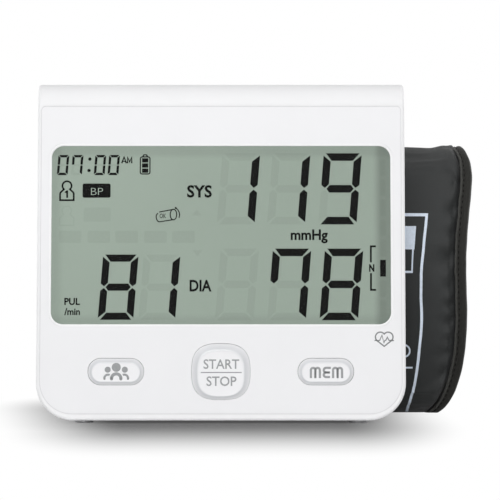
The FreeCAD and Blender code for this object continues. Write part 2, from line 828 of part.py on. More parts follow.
def make_display():
    """The lens in the panel's seat, the display glass behind it, its holder and the two contact strips."""
    lens = window_plate(lens_border, panel_thickness - lens_thickness, lens_thickness)
    glass = window_plate(glass_border, panel_thickness, glass_thickness)
    room = board_depth - glass_back
    hole = prism(window_wire(glass_border - holder_rim, holder_radius, glass_back + room), room)
    holder = window_plate(glass_border, glass_back, room).cut(placed(hole, FACE))
    strip_width = window_width - 2 * strip_end_room
    strip_edge = window_height / 2 + glass_border - holder_rim - strip_height / 2
    strips = [face_block(0, window_middle + side * strip_edge, strip_width, strip_height, glass_back, room)
              for side in (-1, 1)]
    return lens, glass, holder, Part.makeCompound(strips)


def make_chips():
    """The board's larger components, on its back."""
    places = [(board_half_width - side_inset, board_top - drop) for side_inset, drop in chip_insets]
    chips = [face_block(across, up, width, height, board_back, thickness)
             for (width, height, thickness), (across, up) in zip(chip_sizes, places)]
    return Part.makeCompound(chips)


def loop_face(inset):
    """The cuff loop from the side as an oval of four tangent arcs, drawn in by an inset."""
    fold = cuff_fold_radius - inset
    half_height = cuff_height / 2
    half_depth = cuff_loop_depth / 2
    rise = half_height - cuff_fold_radius
    flatness = half_depth - cuff_fold_radius
    side_radius = (half_depth ** 2 + rise ** 2 - cuff_fold_radius ** 2) / (2 * flatness)
    reach = side_radius - half_depth
    span = side_radius - cuff_fold_radius
    along = fold * reach / span
    up = rise + fold * rise / span
    middle = Vector(0, cuff_y, cuff_z)
    corners = [middle + Vector(0, side * along, way * up)
               for side, way in ((1, -1), (1, 1), (-1, 1), (-1, -1))]
    back = middle + Y_AXIS * (half_depth - inset)
    front = middle - Y_AXIS * (half_depth - inset)
    top = middle + Z_AXIS * (half_height - inset)
    bottom = middle - Z_AXIS * (half_height - inset)
    edges = [arc(corners[0], back, corners[1]), arc(corners[1], top, corners[2]),
             arc(corners[2], front, corners[3]), arc(corners[3], bottom, corners[0])]
    return Part.Face(Part.Wire(edges))


def loop_fill(inset):
    """All that lies inside the cuff's loop at an inset, longer than the cuff at both ends."""
    fill = loop_face(inset).extrude(X_AXIS * (cuff_width + 2 * overrun))
    fill.translate(Vector(cuff_right - cuff_width - overrun, 0, 0))
    return fill


def loop_layer(outer_inset, inner_inset):
    """One layer of the cuff between two insets."""
    return loop_fill(outer_inset).cut(loop_fill(inner_inset))


def cuff_outline(inset):
    """The cuff from the front, its ends drawn in by an inset: soft upper corners and long lower ones."""
    half = cuff_width / 2 - inset
    top = cuff_height + outline_margin
    low = -outline_margin
    side_low = half - cuff_waist
    side_share = corner_middle_share

    def point(across, height, side):
        return Vector(cuff_x + side * across, 0, height)

    def upper_corner(side):
        return [point(half - cuff_upper_corner, top, side),
                point(half - cuff_upper_corner * side_share, top - cuff_upper_drop * side_share, side),
                point(half, top - cuff_upper_drop, side)]

    def lower_corner(side):
        return [point(side_low, low + cuff_lower_rise, side),
                point(side_low - cuff_lower_corner * side_share, low + cuff_lower_rise * side_share, side),
                point(side_low - cuff_lower_corner, low, side)]

    edges = []
    for side in (-1, 1):
        upper = upper_corner(side)
        lower = lower_corner(side)
        edges += [arc(*upper), Part.makeLine(upper[2], lower[0]), arc(*lower)]
    edges.append(Part.makeLine(upper_corner(-1)[0], upper_corner(1)[0]))
    edges.append(Part.makeLine(lower_corner(-1)[2], lower_corner(1)[2]))
    face = Part.Face(Part.Wire(Part.__sortEdges__(edges)))
    return face.extrude(Y_AXIS * (2 * cuff_y))


def back_gap(low, high):
    """A cut through the back of the cuff's loop between two heights above its middle."""
    return block(cuff_x - cuff_width, cuff_x + cuff_width, cuff_y, cuff_y + cuff_loop_depth,
                 cuff_z + low, cuff_z + high)


def sleeve(way, radius):
    """A round bar along one of the ring's two long bars: way is 1 for the upper and -1 for the lower."""
    start = Vector(cuff_x - sleeve_half_length, ring_y, cuff_z + way * ring_half_height)
    return rod(start, X_AXIS, radius, 2 * sleeve_half_length)


def back_patch(outer_inset, inner_inset, low, high, margin):
    """A strip of cloth along the back of the loop, narrower than the ring by a margin."""
    half = sleeve_half_length - margin
    window = block(cuff_x - half, cuff_x + half, cuff_y, cuff_y + cuff_loop_depth, low, high)
    return loop_layer(outer_inset, inner_inset).common(window)


def make_ring():
    """The wire ring at the back of the cuff: one round wire swept along a rounded rectangle."""
    wire = rounded_wire(cuff_x - ring_half_length, cuff_x + ring_half_length, -ring_half_height,
                        ring_half_height, ring_corner_radius, ring_corner_radius, 0)
    wire.rotate(Vector(0, 0, 0), X_AXIS, 90)
    wire.translate(Vector(0, ring_y, cuff_z))
    start = Vector(cuff_x, ring_y, cuff_z + ring_half_height)
    profile = Part.Wire(Part.makeCircle(ring_wire_radius, start, X_AXIS))
    path = Part.Wire(Part.__sortEdges__(wire.Edges))
    return path.makePipeShell([profile], True, False)


def make_cuff():
    """The cuff: cover with sleeves and tail, bladder, lining, binding, ring, fasteners and port."""
    cover_in = cuff_tape + cuff_cover
    bladder_in = cover_in + cuff_bladder
    lining_in = bladder_in + cuff_lining
    core = cuff_outline(cuff_tape)
    sleeve_room = sleeve_radius + sleeve_end_room
    inner_gap = back_gap(-ring_half_height - sleeve_room, ring_half_height + sleeve_room)
    cover_gap = back_gap(-ring_half_height, ring_half_height)
    bladder = loop_layer(cover_in, bladder_in).common(core).cut(inner_gap)
    lining = loop_layer(bladder_in, lining_in).common(core).cut(inner_gap)
    whole = loop_layer(0, cuff_stack)
    band = cuff_outline(0).cut(cuff_outline(binding_width))
    kept = loop_layer(cuff_tape, lining_in).common(core)
    binding = whole.common(band).cut(kept).cut(inner_gap)

    loop_out = cuff_tape - fastener_pile
    hook_out = loop_out - fastener_pile
    tail_out = hook_out - cuff_cover
    ring_low = cuff_z - ring_half_height
    patch_top = ring_low - sleeve_room
    tail = back_patch(tail_out, hook_out, tail_end_height, ring_low, 0)
    hook_patch = back_patch(hook_out, loop_out, tail_end_height, patch_top, patch_margin)
    loop_patch = back_patch(loop_out, cuff_tape - pile_clearance, tail_end_height, patch_top, patch_margin)
    bridge = block(cuff_x - sleeve_half_length, cuff_x + sleeve_half_length, ring_y,
                   cuff_y + cuff_loop_depth / 2 - tail_out, ring_low - cuff_cover, ring_low)
    cover = loop_layer(cuff_tape, cover_in).common(core).cut(cover_gap)
    side_room = back_gap(-ring_half_height - sleeve_room, ring_half_height + sleeve_room)
    side_room = side_room.cut(block(cuff_x - sleeve_half_length, cuff_x + sleeve_half_length, cuff_y,
                                    cuff_y + cuff_loop_depth, cuff_z - cuff_height, cuff_z + cuff_height))
    cover = union([cover.cut(side_room), sleeve(1, sleeve_radius), sleeve(-1, sleeve_radius), bridge, tail])
    clear = ring_wire_radius + sleeve_clearance
    cover = without(cover, [sleeve(1, clear), sleeve(-1, clear)])

    port_axis = Vector(port_x, cuff_y, cuff_z + port_rise)
    port_hole = rod(port_axis, Y_AXIS, port_radius, cuff_loop_depth)
    port = loop_layer(-port_flange, cover_in).common(port_hole)
    port_face = port.BoundBox.YMax
    boss = rod(port_axis, Y_AXIS, port_boss_radius, port_face - cuff_y)
    boss = boss.cut(loop_fill(cover_in))
    nipple_start = Vector(port_x, port_face - port_flange, cuff_z + port_rise)
    nipple = rod(nipple_start, Y_AXIS, port_nipple_radius, port_nipple_length + port_flange)
    port = union([port, boss, nipple])
    port = port.cut(rod(nipple_start, Y_AXIS, port_bore, port_nipple_length + overrun))
    return {"cuff_outer_cover": cover.cut(port_hole), "cuff_bladder": bladder, "cuff_lining": lining,
            "cuff_edge_binding": binding, "cuff_d_ring": make_ring(), "cuff_hook_patch": hook_patch,
            "cuff_loop_patch": loop_patch, "cuff_air_port": port}


def make_parts():
    """Every piece of the object by its name."""
    parts = {"rear_housing": make_rear_housing(), "front_panel": make_front_panel()}
    lens, glass, holder, strips = make_display()
    parts.update({"display_window": lens, "display_glass": glass, "display_holder": holder,
                  "contact_strips": strips})
    for button in BUTTONS:
        parts[button[0] + "_button"] = make_button(button)
    bodies, plungers = make_switch_parts()
    parts["switch_bodies"] = bodies
    parts.update(plungers)
    parts["main_board"] = make_board()
    parts["board_screws"] = make_board_screws()
    parts["board_chips"] = make_chips()
    parts["buzzer"] = face_rod(buzzer_inset - board_half_width, board_top - buzzer_drop, board_back,
                               buzzer_radius, buzzer_height)
    parts["case_screws"] = make_case_screws()
    parts["rubber_feet"] = make_feet()
    parts["battery_tray"] = make_tray()
    parts["battery_cells"] = make_cells()
    parts["battery_contacts"] = make_contacts()
    parts["battery_door"] = make_door()
    motor, rotor, head, boot = make_pump()
    parts.update({"pump_motor": motor, "pump_rotor": rotor, "pump_boot": boot})
    parts.update(make_air_system(head))
    parts["power_jack"] = make_jack()
    parts["electrode_left"] = make_electrode(-1)
    parts["electrode_right"] = make_electrode(1)
    parts.update(make_cuff())
    return parts


os.makedirs("parts", exist_ok=True)
for node, shape in make_parts().items():
    shape.exportStep("parts/" + node + ".step")
    state = "valid" if shape.isValid() else "bad"
    print(node, len(shape.Solids), "solid(s)", round(shape.Volume), "mm3", state)
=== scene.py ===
import math

import bpy
import numpy as np
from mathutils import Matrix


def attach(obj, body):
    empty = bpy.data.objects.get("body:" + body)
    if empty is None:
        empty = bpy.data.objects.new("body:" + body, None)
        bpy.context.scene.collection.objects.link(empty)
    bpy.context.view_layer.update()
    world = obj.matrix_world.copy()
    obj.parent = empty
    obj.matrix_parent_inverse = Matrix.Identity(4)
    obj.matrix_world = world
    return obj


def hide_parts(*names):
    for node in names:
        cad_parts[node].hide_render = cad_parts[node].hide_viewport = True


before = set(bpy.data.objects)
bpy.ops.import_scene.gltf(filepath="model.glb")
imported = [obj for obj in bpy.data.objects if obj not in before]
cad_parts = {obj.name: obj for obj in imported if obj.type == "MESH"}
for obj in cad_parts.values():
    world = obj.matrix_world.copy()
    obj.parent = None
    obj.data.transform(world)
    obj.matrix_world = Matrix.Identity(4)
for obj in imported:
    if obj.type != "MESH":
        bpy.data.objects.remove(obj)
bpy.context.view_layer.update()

# A blood pressure monitor: a white standing case with a grey display and three buttons, and a dark
# cloth arm cuff behind it. Sizes are in millimetres here and become metres in the points.
MM = 0.001
ACROSS = np.array([1.0, 0.0, 0.0])

# The leaning face: its foot, and the ways up it and out of it
FACE_LEAN = math.radians(6.0)
FACE_FOOT = np.array([0.0, -26.0, 1.2])
UP_FACE = np.array([0.0, math.sin(FACE_LEAN), math.cos(FACE_LEAN)])
OUT_FACE = np.array([0.0, -math.cos(FACE_LEAN), math.sin(FACE_LEAN)])

# Display window and what lies behind it
WINDOW_HALF = (73.75, 39.0)
WINDOW_MIDDLE = 80.7
WINDOW_RADIUS = 5.3
LENS_FRONT = -0.30
LENS_BACK = -0.36
LENS_EDGE = 0.04
FILM_DEPTH = -0.42
INK_DEPTH = -0.39

# Button row
BUTTON_ROW = 21.2
START_HALF = (12.45, 11.95)
START_SQUARENESS = 2.8
SMALL_HALF = (11.9, 5.6)
SMALL_PLACE = 45.4
CAP_SINK = -1.9

# Cuff: an oval of four arcs from the side, standing behind the case
CUFF_Y = 54.3
CUFF_Z = 61.0
CUFF_X = 40.4
CUFF_HALF_HEIGHT = 61.0
CUFF_HALF_DEPTH = 28.0
FOLD_RADIUS = 20.0
TAPE = 0.5
LINING_IN = 5.3
RING_Y = 79.4
RING_RISE = 7.0
RING_WIRE = 1.5
SLEEVE_HALF = 42.0
TAIL_END = 12.0
GAP_HALF = 10.3
# rows and columns of the cloth and of the fastener pads, and rows of the sewn edges
CLOTH_GRID = (160, 75)
PAD_GRID = (60, 41)
EDGE_ROWS = 420


# Shapes

def on_face(across, up, out):
    """Millimetres across, up and out of the leaning face, as points in the shared frame."""
    across, up, out = np.broadcast_arrays(np.asarray(across, float), up, out)
    point = FACE_FOOT + across[..., None] * ACROSS + up[..., None] * UP_FACE + out[..., None] * OUT_FACE
    return point * MM


def sheet_of(points, close_columns=False, flip=False):
    """Quads over a grid of points: each row and column joins the next, columns round the end where closed."""
    rows, columns = points.shape[:2]
    j = np.arange(columns if close_columns else columns - 1)
    i, j = np.meshgrid(np.arange(rows - 1), j, indexing="ij")
    i2, j2 = i + 1, (j + 1) % columns
    quads = np.stack([i * columns + j, i * columns + j2, i2 * columns + j2, i2 * columns + j],
                     -1).reshape(-1, 4)
    return points.reshape(-1, 3), [quads[:, ::-1] if flip else quads]


def together(shapes):
    """Several shapes as one: points stacked, face numbers moved along."""
    points, faces, count = [], [], 0
    for shape_points, shape_faces in shapes:
        points.append(shape_points)
        faces += [group + count for group in shape_faces]
        count += len(shape_points)
    return np.concatenate(points), faces


def mesh_of(name, shape, uv=None, smooth=True):
    """A mesh from points and groups of faces, with the cloth's own length and width where they are given."""
    points, groups = shape
    mesh = bpy.data.meshes.new(name)
    corners = np.concatenate([group.reshape(-1) for group in groups]).astype(np.int32)
    sizes = np.concatenate([np.full(len(group), group.shape[1]) for group in groups]).astype(np.int32)
    starts = np.concatenate([[0], np.cumsum(sizes)[:-1]]).astype(np.int32)
    mesh.vertices.add(len(points))
    mesh.vertices.foreach_set("co", points.astype(np.float32).ravel())
    mesh.loops.add(len(corners))
    mesh.loops.foreach_set("vertex_index", corners)
    mesh.polygons.add(len(sizes))
    mesh.polygons.foreach_set("loop_start", starts)
    mesh.polygons.foreach_set("loop_total", sizes)
    if uv is not None:
        layer = mesh.uv_layers.new(name="cloth")
        layer.data.foreach_set("uv", uv[corners].astype(np.float32).ravel())
    mesh.update(calc_edges=True)
    mesh.validate()
    mesh.polygons.foreach_set("use_smooth", np.full(len(sizes), smooth))
    return mesh


def make_piece(name, shape, material, body, uv=None, smooth=True):
    """A mesh object with its finish, that rides on a body."""
    mesh = mesh_of(name, shape, uv, smooth)
    mesh.materials.append(material)
    piece = bpy.data.objects.new(name, mesh)
    bpy.context.scene.collection.objects.link(piece)
    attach(piece, body)
    return piece


# Finishes

def new_finish(name):
    """A material with its shader, ready for nodes."""
    material = bpy.data.materials.new(name)
    material.use_nodes = True
    tree = material.node_tree
    shader = tree.nodes["Principled BSDF"]
    return material, tree, shader


def feed(tree, node, inputs):
    """Gives each input of a node its value, or links it to the output that feeds it."""
    for key, value in inputs.items():
        if isinstance(value, bpy.types.NodeSocket):
            tree.links.new(value, node.inputs[key])
        else:
            node.inputs[key].default_value = value


def add_node(tree, kind, inputs=None, **settings):
    """One node with its settings and its inputs."""
    node = tree.nodes.new(kind)
    for key, value in settings.items():
        setattr(node, key, value)
    feed(tree, node, inputs or {})
    return node


def place_on(tree, kind="Object"):
    """The piece's own coordinates: Object, or UV where a pattern follows the cloth."""
    return add_node(tree, "ShaderNodeTexCoord").outputs[kind]


def axes_of(tree, coords):
    """The three axes of coordinates, by their letters."""
    return add_node(tree, "ShaderNodeSeparateXYZ", {"Vector": coords}).outputs


def worked(tree, operation, *values):
    """The result of one operation on numbers or outputs."""
    return add_node(tree, "ShaderNodeMath", dict(enumerate(values)), operation=operation).outputs[0]


def noise(tree, coords, scale, detail, roughness=0.5):
    """Cloudy noise, from 0 to 1."""
    inputs = {"Vector": coords, "Scale": scale, "Detail": detail, "Roughness": roughness}
    return add_node(tree, "ShaderNodeTexNoise", inputs).outputs["Fac"]


def tone(tree, factor, low, high, start=0.3, end=0.7):
    """A colour that runs from low to high as the factor runs from start to end."""
    node = add_node(tree, "ShaderNodeValToRGB", {"Fac": factor})
    for stop, position, colour in ((0, start, low), (1, end, high)):
        node.color_ramp.elements[stop].position = position
        node.color_ramp.elements[stop].color = (*colour, 1.0)
    return node.outputs["Color"]


def mixed(tree, factor, first, second):
    """A colour between two, by a factor."""
    inputs = {"Factor": factor, "A": first, "B": second}
    return add_node(tree, "ShaderNodeMix", inputs, data_type="RGBA", blend_type="MIX").outputs["Result"]


def spread(tree, factor, low, high, start=0.0, end=1.0, kind="LINEAR"):
    """A number that runs from low to high as the factor runs from start to end."""
    inputs = {"Value": factor, "From Min": start, "From Max": end, "To Min": low, "To Max": high}
    return add_node(tree, "ShaderNodeMapRange", inputs, interpolation_type=kind).outputs["Result"]


def relief(tree, shader, height, strength, distance):
    """Bump from a height, onto the shader's normal."""
    bump = add_node(tree, "ShaderNodeBump", {"Strength": strength, "Distance": distance, "Height": height})
    feed(tree, shader, {"Normal": bump.outputs["Normal"]})


def shade(colour, share):
    """A colour made darker or lighter by a share."""
    return tuple(channel * share for channel in colour)


def moulded(name, colour, roughness, grain=1400.0, depth=0.02, stain=0.97, specular=0.5, second=None):
    """Moulded plastic: faint cloudy tone, fine spark-eroded grain, a little uneven gloss, and a second tone
    where the piece's own mark says so; on the buttons that second tone is painted shade."""
    material, tree, shader = new_finish(name)
    coords = place_on(tree)
    cloud = noise(tree, coords, 28.0, 3.0)
    fine = noise(tree, coords, grain, 2.0)
    paint = tone(tree, cloud, shade(colour, stain), colour)
    if second is not None:
        mark = axes_of(tree, place_on(tree, "UV"))["Y"]
        paint = mixed(tree, mark, paint, tone(tree, cloud, shade(second, stain), second))
    relief(tree, shader, fine, depth, 0.0002)
    feed(tree, shader, {"Base Color": paint, "Specular IOR Level": specular,
                        "Roughness": spread(tree, fine, roughness - 0.05, roughness + 0.05)})
    return material


def metal(name, colour, roughness, stretch=(60.0, 1200.0, 1200.0)):
    """Drawn metal: fine streaks along one axis in tone, gloss and bump."""
    material, tree, shader = new_finish(name)
    mapping = add_node(tree, "ShaderNodeMapping", {"Vector": place_on(tree), "Scale": stretch})
    streak = noise(tree, mapping.outputs["Vector"], 1.0, 3.0)
    relief(tree, shader, streak, 0.06, 0.0001)
    feed(tree, shader, {"Base Color": tone(tree, streak, shade(colour, 0.86), colour), "Metallic": 1.0,
                        "Roughness": spread(tree, streak, roughness - 0.07, roughness + 0.09)})
    return material


def rubber(name, colour, roughness, specular=0.5):
    """Soft rubber: dull, with a dusty mottle and small pits."""
    material, tree, shader = new_finish(name)
    coords = place_on(tree)
    dust = noise(tree, coords, 220.0, 5.0, 0.65)
    pits = add_node(tree, "ShaderNodeTexVoronoi", {"Vector": coords, "Scale": 1500.0})
    relief(tree, shader, pits.outputs["Distance"], 0.12, 0.0001)
    feed(tree, shader, {"Base Color": tone(tree, dust, shade(colour, 0.8), shade(colour, 1.15)),
                        "Roughness": spread(tree, dust, roughness - 0.06, roughness + 0.06),
                        "Specular IOR Level": specular})
    return material


def woven(name, warp, weft, pitch, roughness, strength=0.35, sheen=0.15, wear=0.12, specular=0.35):
    """Plain weave on the cloth's own length and width: two sets of threads cross, with mottled tone and
    sheen."""
    material, tree, shader = new_finish(name)
    coords = place_on(tree, "UV")
    threads = {"Vector": coords, "Scale": 2.0 * math.pi / (20.0 * pitch * MM), "Distortion": 0.6,
               "Detail": 1.0}
    crossing = worked(tree, "MULTIPLY", *(
        add_node(tree, "ShaderNodeTexWave", threads, bands_direction=direction).outputs["Fac"]
        for direction in ("X", "Y")))
    mottle = noise(tree, coords, 60.0, 5.0, 0.6)
    tones = [tone(tree, mottle, shade(colour, 1.0 - wear), shade(colour, 1.0 + wear))
             for colour in (warp, weft)]
    relief(tree, shader, crossing, strength, 0.0002)
    feed(tree, shader, {"Base Color": mixed(tree, crossing, *tones),
                        "Roughness": spread(tree, mottle, roughness - 0.08, roughness + 0.08),
                        "Sheen Weight": sheen, "Sheen Roughness": 0.45, "Specular IOR Level": specular})
    return material


def pile(name, colour, size, strength):
    """Hook or loop fastener: a dense field of small bristles, with a painted highlight on their tips and
    painted shade between them.
    """
    material, tree, shader = new_finish(name)
    tufts = add_node(tree, "ShaderNodeTexVoronoi",
                     {"Vector": place_on(tree, "UV"), "Scale": 1.0 / (size * MM)}).outputs["Distance"]
    relief(tree, shader, tufts, strength, 0.0006)
    feed(tree, shader, {"Base Color": tone(tree, tufts, shade(colour, 1.6), shade(colour, 0.5), 0.1, 0.7),
                        "Roughness": 0.85, "Sheen Weight": 0.3})
    return material


def ink(name, colour, roughness=0.45):
    """Printed ink: a thin even film with a slightly uneven edge of tone."""
    material, tree, shader = new_finish(name)
    speck = noise(tree, place_on(tree), 900.0, 3.0)
    relief(tree, shader, speck, 0.05, 0.0001)
    feed(tree, shader, {"Base Color": tone(tree, speck, shade(colour, 0.94), shade(colour, 1.04)),
                        "Roughness": spread(tree, speck, roughness - 0.05, roughness + 0.05),
                        "Specular IOR Level": 0.03})
    return material


# painted shade on the display: a slow darkening across it and a painted bezel shadow along each edge; axis,
# where it starts and ends in metres, and the share left
DISPLAY_PAINTED_SHADE = (("X", -0.03, 0.066, 0.94), ("X", 0.0655, 0.0700, 0.65), ("X", -0.0675, -0.0725, 0.86),
                 ("Z", 0.1140, 0.1175, 0.86), ("Z", 0.0480, 0.0440, 0.88))


def display_grey(name, colour):
    """The display's reflector: grey-green with a frosted grain and slow clouding, with painted shade: darker
    towards its right side, and a painted bezel shadow towards its edges."""
    material, tree, shader = new_finish(name)
    coords = place_on(tree)
    axes = axes_of(tree, coords)
    level = 1.0
    for axis, start, end, share_left in DISPLAY_PAINTED_SHADE:
        fade = spread(tree, axes[axis], 1.0, share_left, start, end, "SMOOTHSTEP")
        level = worked(tree, "MULTIPLY", level, fade)
    cloud = noise(tree, coords, 14.0, 2.0)
    frost = noise(tree, coords, 2600.0, 2.0)
    with_painted_shade = add_node(tree, "ShaderNodeVectorMath",
                      {0: tone(tree, cloud, shade(colour, 0.97), shade(colour, 1.02)), "Scale": level},
                      operation="SCALE")
    relief(tree, shader, frost, 0.04, 0.0001)
    feed(tree, shader, {"Base Color": with_painted_shade.outputs["Vector"], "Specular IOR Level": 0.2,
                        "Roughness": spread(tree, frost, 0.42, 0.55)})
    return material


def clear_sheet(name, colour, alpha, roughness):
    """Clear plastic: nearly all see-through, with a polished face and a trace of haze."""
    material, tree, shader = new_finish(name)
    haze = noise(tree, place_on(tree), 90.0, 3.0)
    feed(tree, shader, {"Base Color": tone(tree, haze, shade(colour, 0.97), colour), "Alpha": alpha,
                        "Roughness": spread(tree, haze, roughness, roughness + 0.04)})
    return material


def circuit_board(name):
    """Green board: lacquer over a pattern of copper tracks, seen as slightly lighter bricks."""
    material, tree, shader = new_finish(name)
    mapping = add_node(tree, "ShaderNodeMapping",
                       {"Vector": place_on(tree), "Rotation": (math.radians(84.0), 0.0, 0.0)})
    tracks = add_node(tree, "ShaderNodeTexBrick",
                      {"Vector": mapping.outputs["Vector"], "Scale": 160.0, "Mortar Size": 0.08,
                       "Color1": (0.010, 0.085, 0.035, 1.0), "Color2": (0.014, 0.105, 0.045, 1.0),
                       "Mortar": (0.03, 0.17, 0.07, 1.0)})
    relief(tree, shader, tracks.outputs["Fac"], 0.2, 0.0001)
    feed(tree, shader, {"Base Color": tracks.outputs["Color"], "Roughness": 0.35})
    return material


def cell_jacket(name):
    """Battery jacket: dark sleeve with a lighter band towards one end, as a gradient along the cell."""
    material, tree, shader = new_finish(name)
    wave = add_node(tree, "ShaderNodeTexWave", {"Vector": place_on(tree), "Scale": 6.0, "Distortion": 0.0},
                    bands_direction="X", wave_profile="SAW")
    jacket = tone(tree, wave.outputs["Fac"], (0.03, 0.035, 0.04), (0.42, 0.28, 0.12), 0.68, 0.72)
    feed(tree, shader, {"Base Color": jacket, "Metallic": 0.4, "Roughness": 0.3})
    return material


PANEL_WHITE = moulded("panel_white", (0.84, 0.84, 0.855), 0.45, grain=1600.0, depth=0.015, stain=0.985,
                      specular=0.35)
CASE_WHITE = moulded("case_white", (0.88, 0.88, 0.89), 0.5, grain=1200.0, depth=0.03, stain=0.985,
                     specular=0.2)
RIM_WHITE = moulded("rim_white", (0.88, 0.88, 0.89), 0.4, grain=1600.0, depth=0.01, stain=0.99)
# the seam bead's grey is painted shade in the gap round the panel
SEAM_SHADE_GREY = moulded("seam_shade_grey", (0.74, 0.74, 0.75), 0.6, grain=1200.0, depth=0.02, stain=0.97, specular=0.1)
# the buttons' greyer second tone is painted shade on their slopes and in their gaps
BUTTON_WHITE = moulded("button_white", (0.84, 0.84, 0.855), 0.3, grain=1800.0, depth=0.01, stain=0.985,
                       second=(0.65, 0.66, 0.68))
HOLDER_WHITE = moulded("holder_white", (0.72, 0.73, 0.72), 0.5)
BLACK_PLASTIC = moulded("black_plastic", (0.02, 0.02, 0.022), 0.45, depth=0.05, stain=0.8)
GREY_PLASTIC = moulded("grey_plastic", (0.22, 0.225, 0.235), 0.45, depth=0.04, stain=0.9)
STEEL = metal("steel", (0.62, 0.62, 0.63), 0.3)
ELECTRODE_STEEL = metal("electrode_steel", (0.56, 0.555, 0.54), 0.3, (1200.0, 1200.0, 40.0))
BLACK_RUBBER = rubber("black_rubber", (0.018, 0.018, 0.018), 0.75)
GREY_RUBBER = rubber("grey_rubber", (0.16, 0.16, 0.165), 0.7)
PALE_RUBBER = rubber("pale_rubber", (0.72, 0.72, 0.73), 0.7)
CLEAR_TUBE = clear_sheet("clear_tube", (0.75, 0.78, 0.78), 0.45, 0.15)
WINDOW_CLEAR = clear_sheet("window_clear", (0.10, 0.11, 0.105), 0.03, 0.06)
DISPLAY_GREY = display_grey("display_grey", (0.325, 0.394, 0.334))
BOARD_GREEN = circuit_board("board_green")
CELL_JACKET = cell_jacket("cell_jacket")
SEGMENT_INK = ink("segment_black", (0.006, 0.006, 0.0058), 0.6)
# the faint segments carry the display's painted shade too
GHOST_INK = display_grey("segment_faint", (0.300, 0.365, 0.308))
BADGE_INK = ink("badge_letter", (0.42, 0.50, 0.43), 0.5)
GREY_INK = ink("grey_print", (0.345, 0.355, 0.36), 0.5)
PANEL_INK = ink("panel_print", (0.25, 0.257, 0.262), 0.5)
CUFF_CLOTH = woven("cuff_cloth", (0.0215, 0.0232, 0.0232), (0.0288, 0.0306, 0.0306), 0.31, 0.62, sheen=0.1,
                   specular=0.3)
LINING_CLOTH = woven("lining_cloth", (0.050, 0.052, 0.053), (0.062, 0.064, 0.065), 0.44, 0.75)
BINDING_TAPE = woven("binding_tape", (0.0120, 0.0118, 0.0098), (0.0165, 0.0162, 0.0135), 0.57, 0.7,
                     strength=0.5, sheen=0.1, specular=0.25)
# the piping is lighter than the tape: partly its own tone, partly a painted highlight where its ridge catches
# the light
EDGE_PIPING = woven("edge_piping", (0.034, 0.034, 0.030), (0.046, 0.046, 0.041), 0.5, 0.6, strength=0.5,
                    sheen=0.1)
THREAD = rubber("sewing_thread", (0.005, 0.005, 0.0048), 0.8, 0.05)
HOOK_PILE = pile("hook_pile", (0.030, 0.031, 0.032), 0.9, 0.9)
LOOP_PILE = pile("loop_pile", (0.040, 0.041, 0.042), 0.5, 0.7)
CUFF_INK = ink("cuff_print", (0.76, 0.84, 0.95), 0.6)

NODE_FINISH = {
    "rear_housing": CASE_WHITE, "front_panel": PANEL_WHITE, "display_glass": DISPLAY_GREY,
    "display_holder": HOLDER_WHITE, "contact_strips": GREY_RUBBER, "switch_bodies": BLACK_PLASTIC,
    "start_stop_switch_plunger": GREY_PLASTIC, "user_switch_plunger": GREY_PLASTIC,
    "memory_switch_plunger": GREY_PLASTIC, "main_board": BOARD_GREEN, "board_screws": STEEL,
    "board_chips": BLACK_PLASTIC, "buzzer": BLACK_PLASTIC, "case_screws": STEEL, "rubber_feet": PALE_RUBBER,
    "battery_tray": HOLDER_WHITE, "battery_cells": CELL_JACKET, "battery_contacts": STEEL,
    "battery_door": CASE_WHITE, "pump_motor": STEEL, "pump_rotor": STEEL, "pump_boot": BLACK_RUBBER,
    "pump_tube": CLEAR_TUBE, "socket_tube": CLEAR_TUBE, "valve_tube": CLEAR_TUBE, "sensor_tube": CLEAR_TUBE,
    "air_manifold": GREY_PLASTIC, "pump_head": BLACK_PLASTIC, "air_socket": GREY_PLASTIC,
    "pressure_sensor": BLACK_PLASTIC, "exhaust_valve_body": STEEL, "exhaust_valve_plunger": STEEL,
    "power_jack": BLACK_PLASTIC, "electrode_left": ELECTRODE_STEEL, "electrode_right": ELECTRODE_STEEL,
    "cuff_d_ring": STEEL, "cuff_air_port": BLACK_PLASTIC,
}
for node_name, material in NODE_FINISH.items():
    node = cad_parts[node_name]
    node.data.materials.clear()
    node.data.materials.append(material)


# Window lens

def rounded_ring(half_width, half_height, radius, count=96):
    """A closed outline: a rectangle with round corners, walked anticlockwise by its turning angle."""
    angle = (np.arange(count) + 0.5) * (2.0 * math.pi / count)
    side_x, side_y = np.sign(np.cos(angle)), np.sign(np.sin(angle))
    x = side_x * (half_width - radius) + radius * np.cos(angle)
    y = side_y * (half_height - radius) + radius * np.sin(angle)
    return x, y


def plate_shape(across, up, ring_insets, ring_depths, outline):
    """A plate or cap: the outline drawn in ring by ring to its middle, each ring at its own height."""
    rings = []
    for inset, depth in zip(ring_insets, ring_depths):
        x, y = outline(inset)
        rings.append(on_face(across + x, up + y, np.full_like(x, depth)))
    rings.append(np.repeat(rings[-1].mean(0)[None, :], len(rings[0]), 0))
    return sheet_of(np.stack(rings), close_columns=True)


def window_outline(inset):
    """The window's outline drawn in by an inset, its corners kept round."""
    return rounded_ring(WINDOW_HALF[0] - inset, WINDOW_HALF[1] - inset, max(WINDOW_RADIUS - inset, 1.0))


def window_plate(insets, depths):
    """A plate in the window: rings at their own insets and depths, closed to the middle."""
    return plate_shape(0.0, WINDOW_MIDDLE, insets, depths, window_outline)


lens = make_piece("window_lens",
                  window_plate((0.02, 0.02, 0.02 + LENS_EDGE, 3.0),
                               (LENS_BACK, LENS_FRONT - LENS_EDGE, LENS_FRONT, LENS_FRONT)),
                  WINDOW_CLEAR, "monitor", smooth=False)
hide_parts("display_window")
make_piece("display_film", window_plate((-0.05, -0.05, 3.0), (FILM_DEPTH - 0.2, FILM_DEPTH, FILM_DEPTH)),
           DISPLAY_GREY, "monitor", smooth=False)
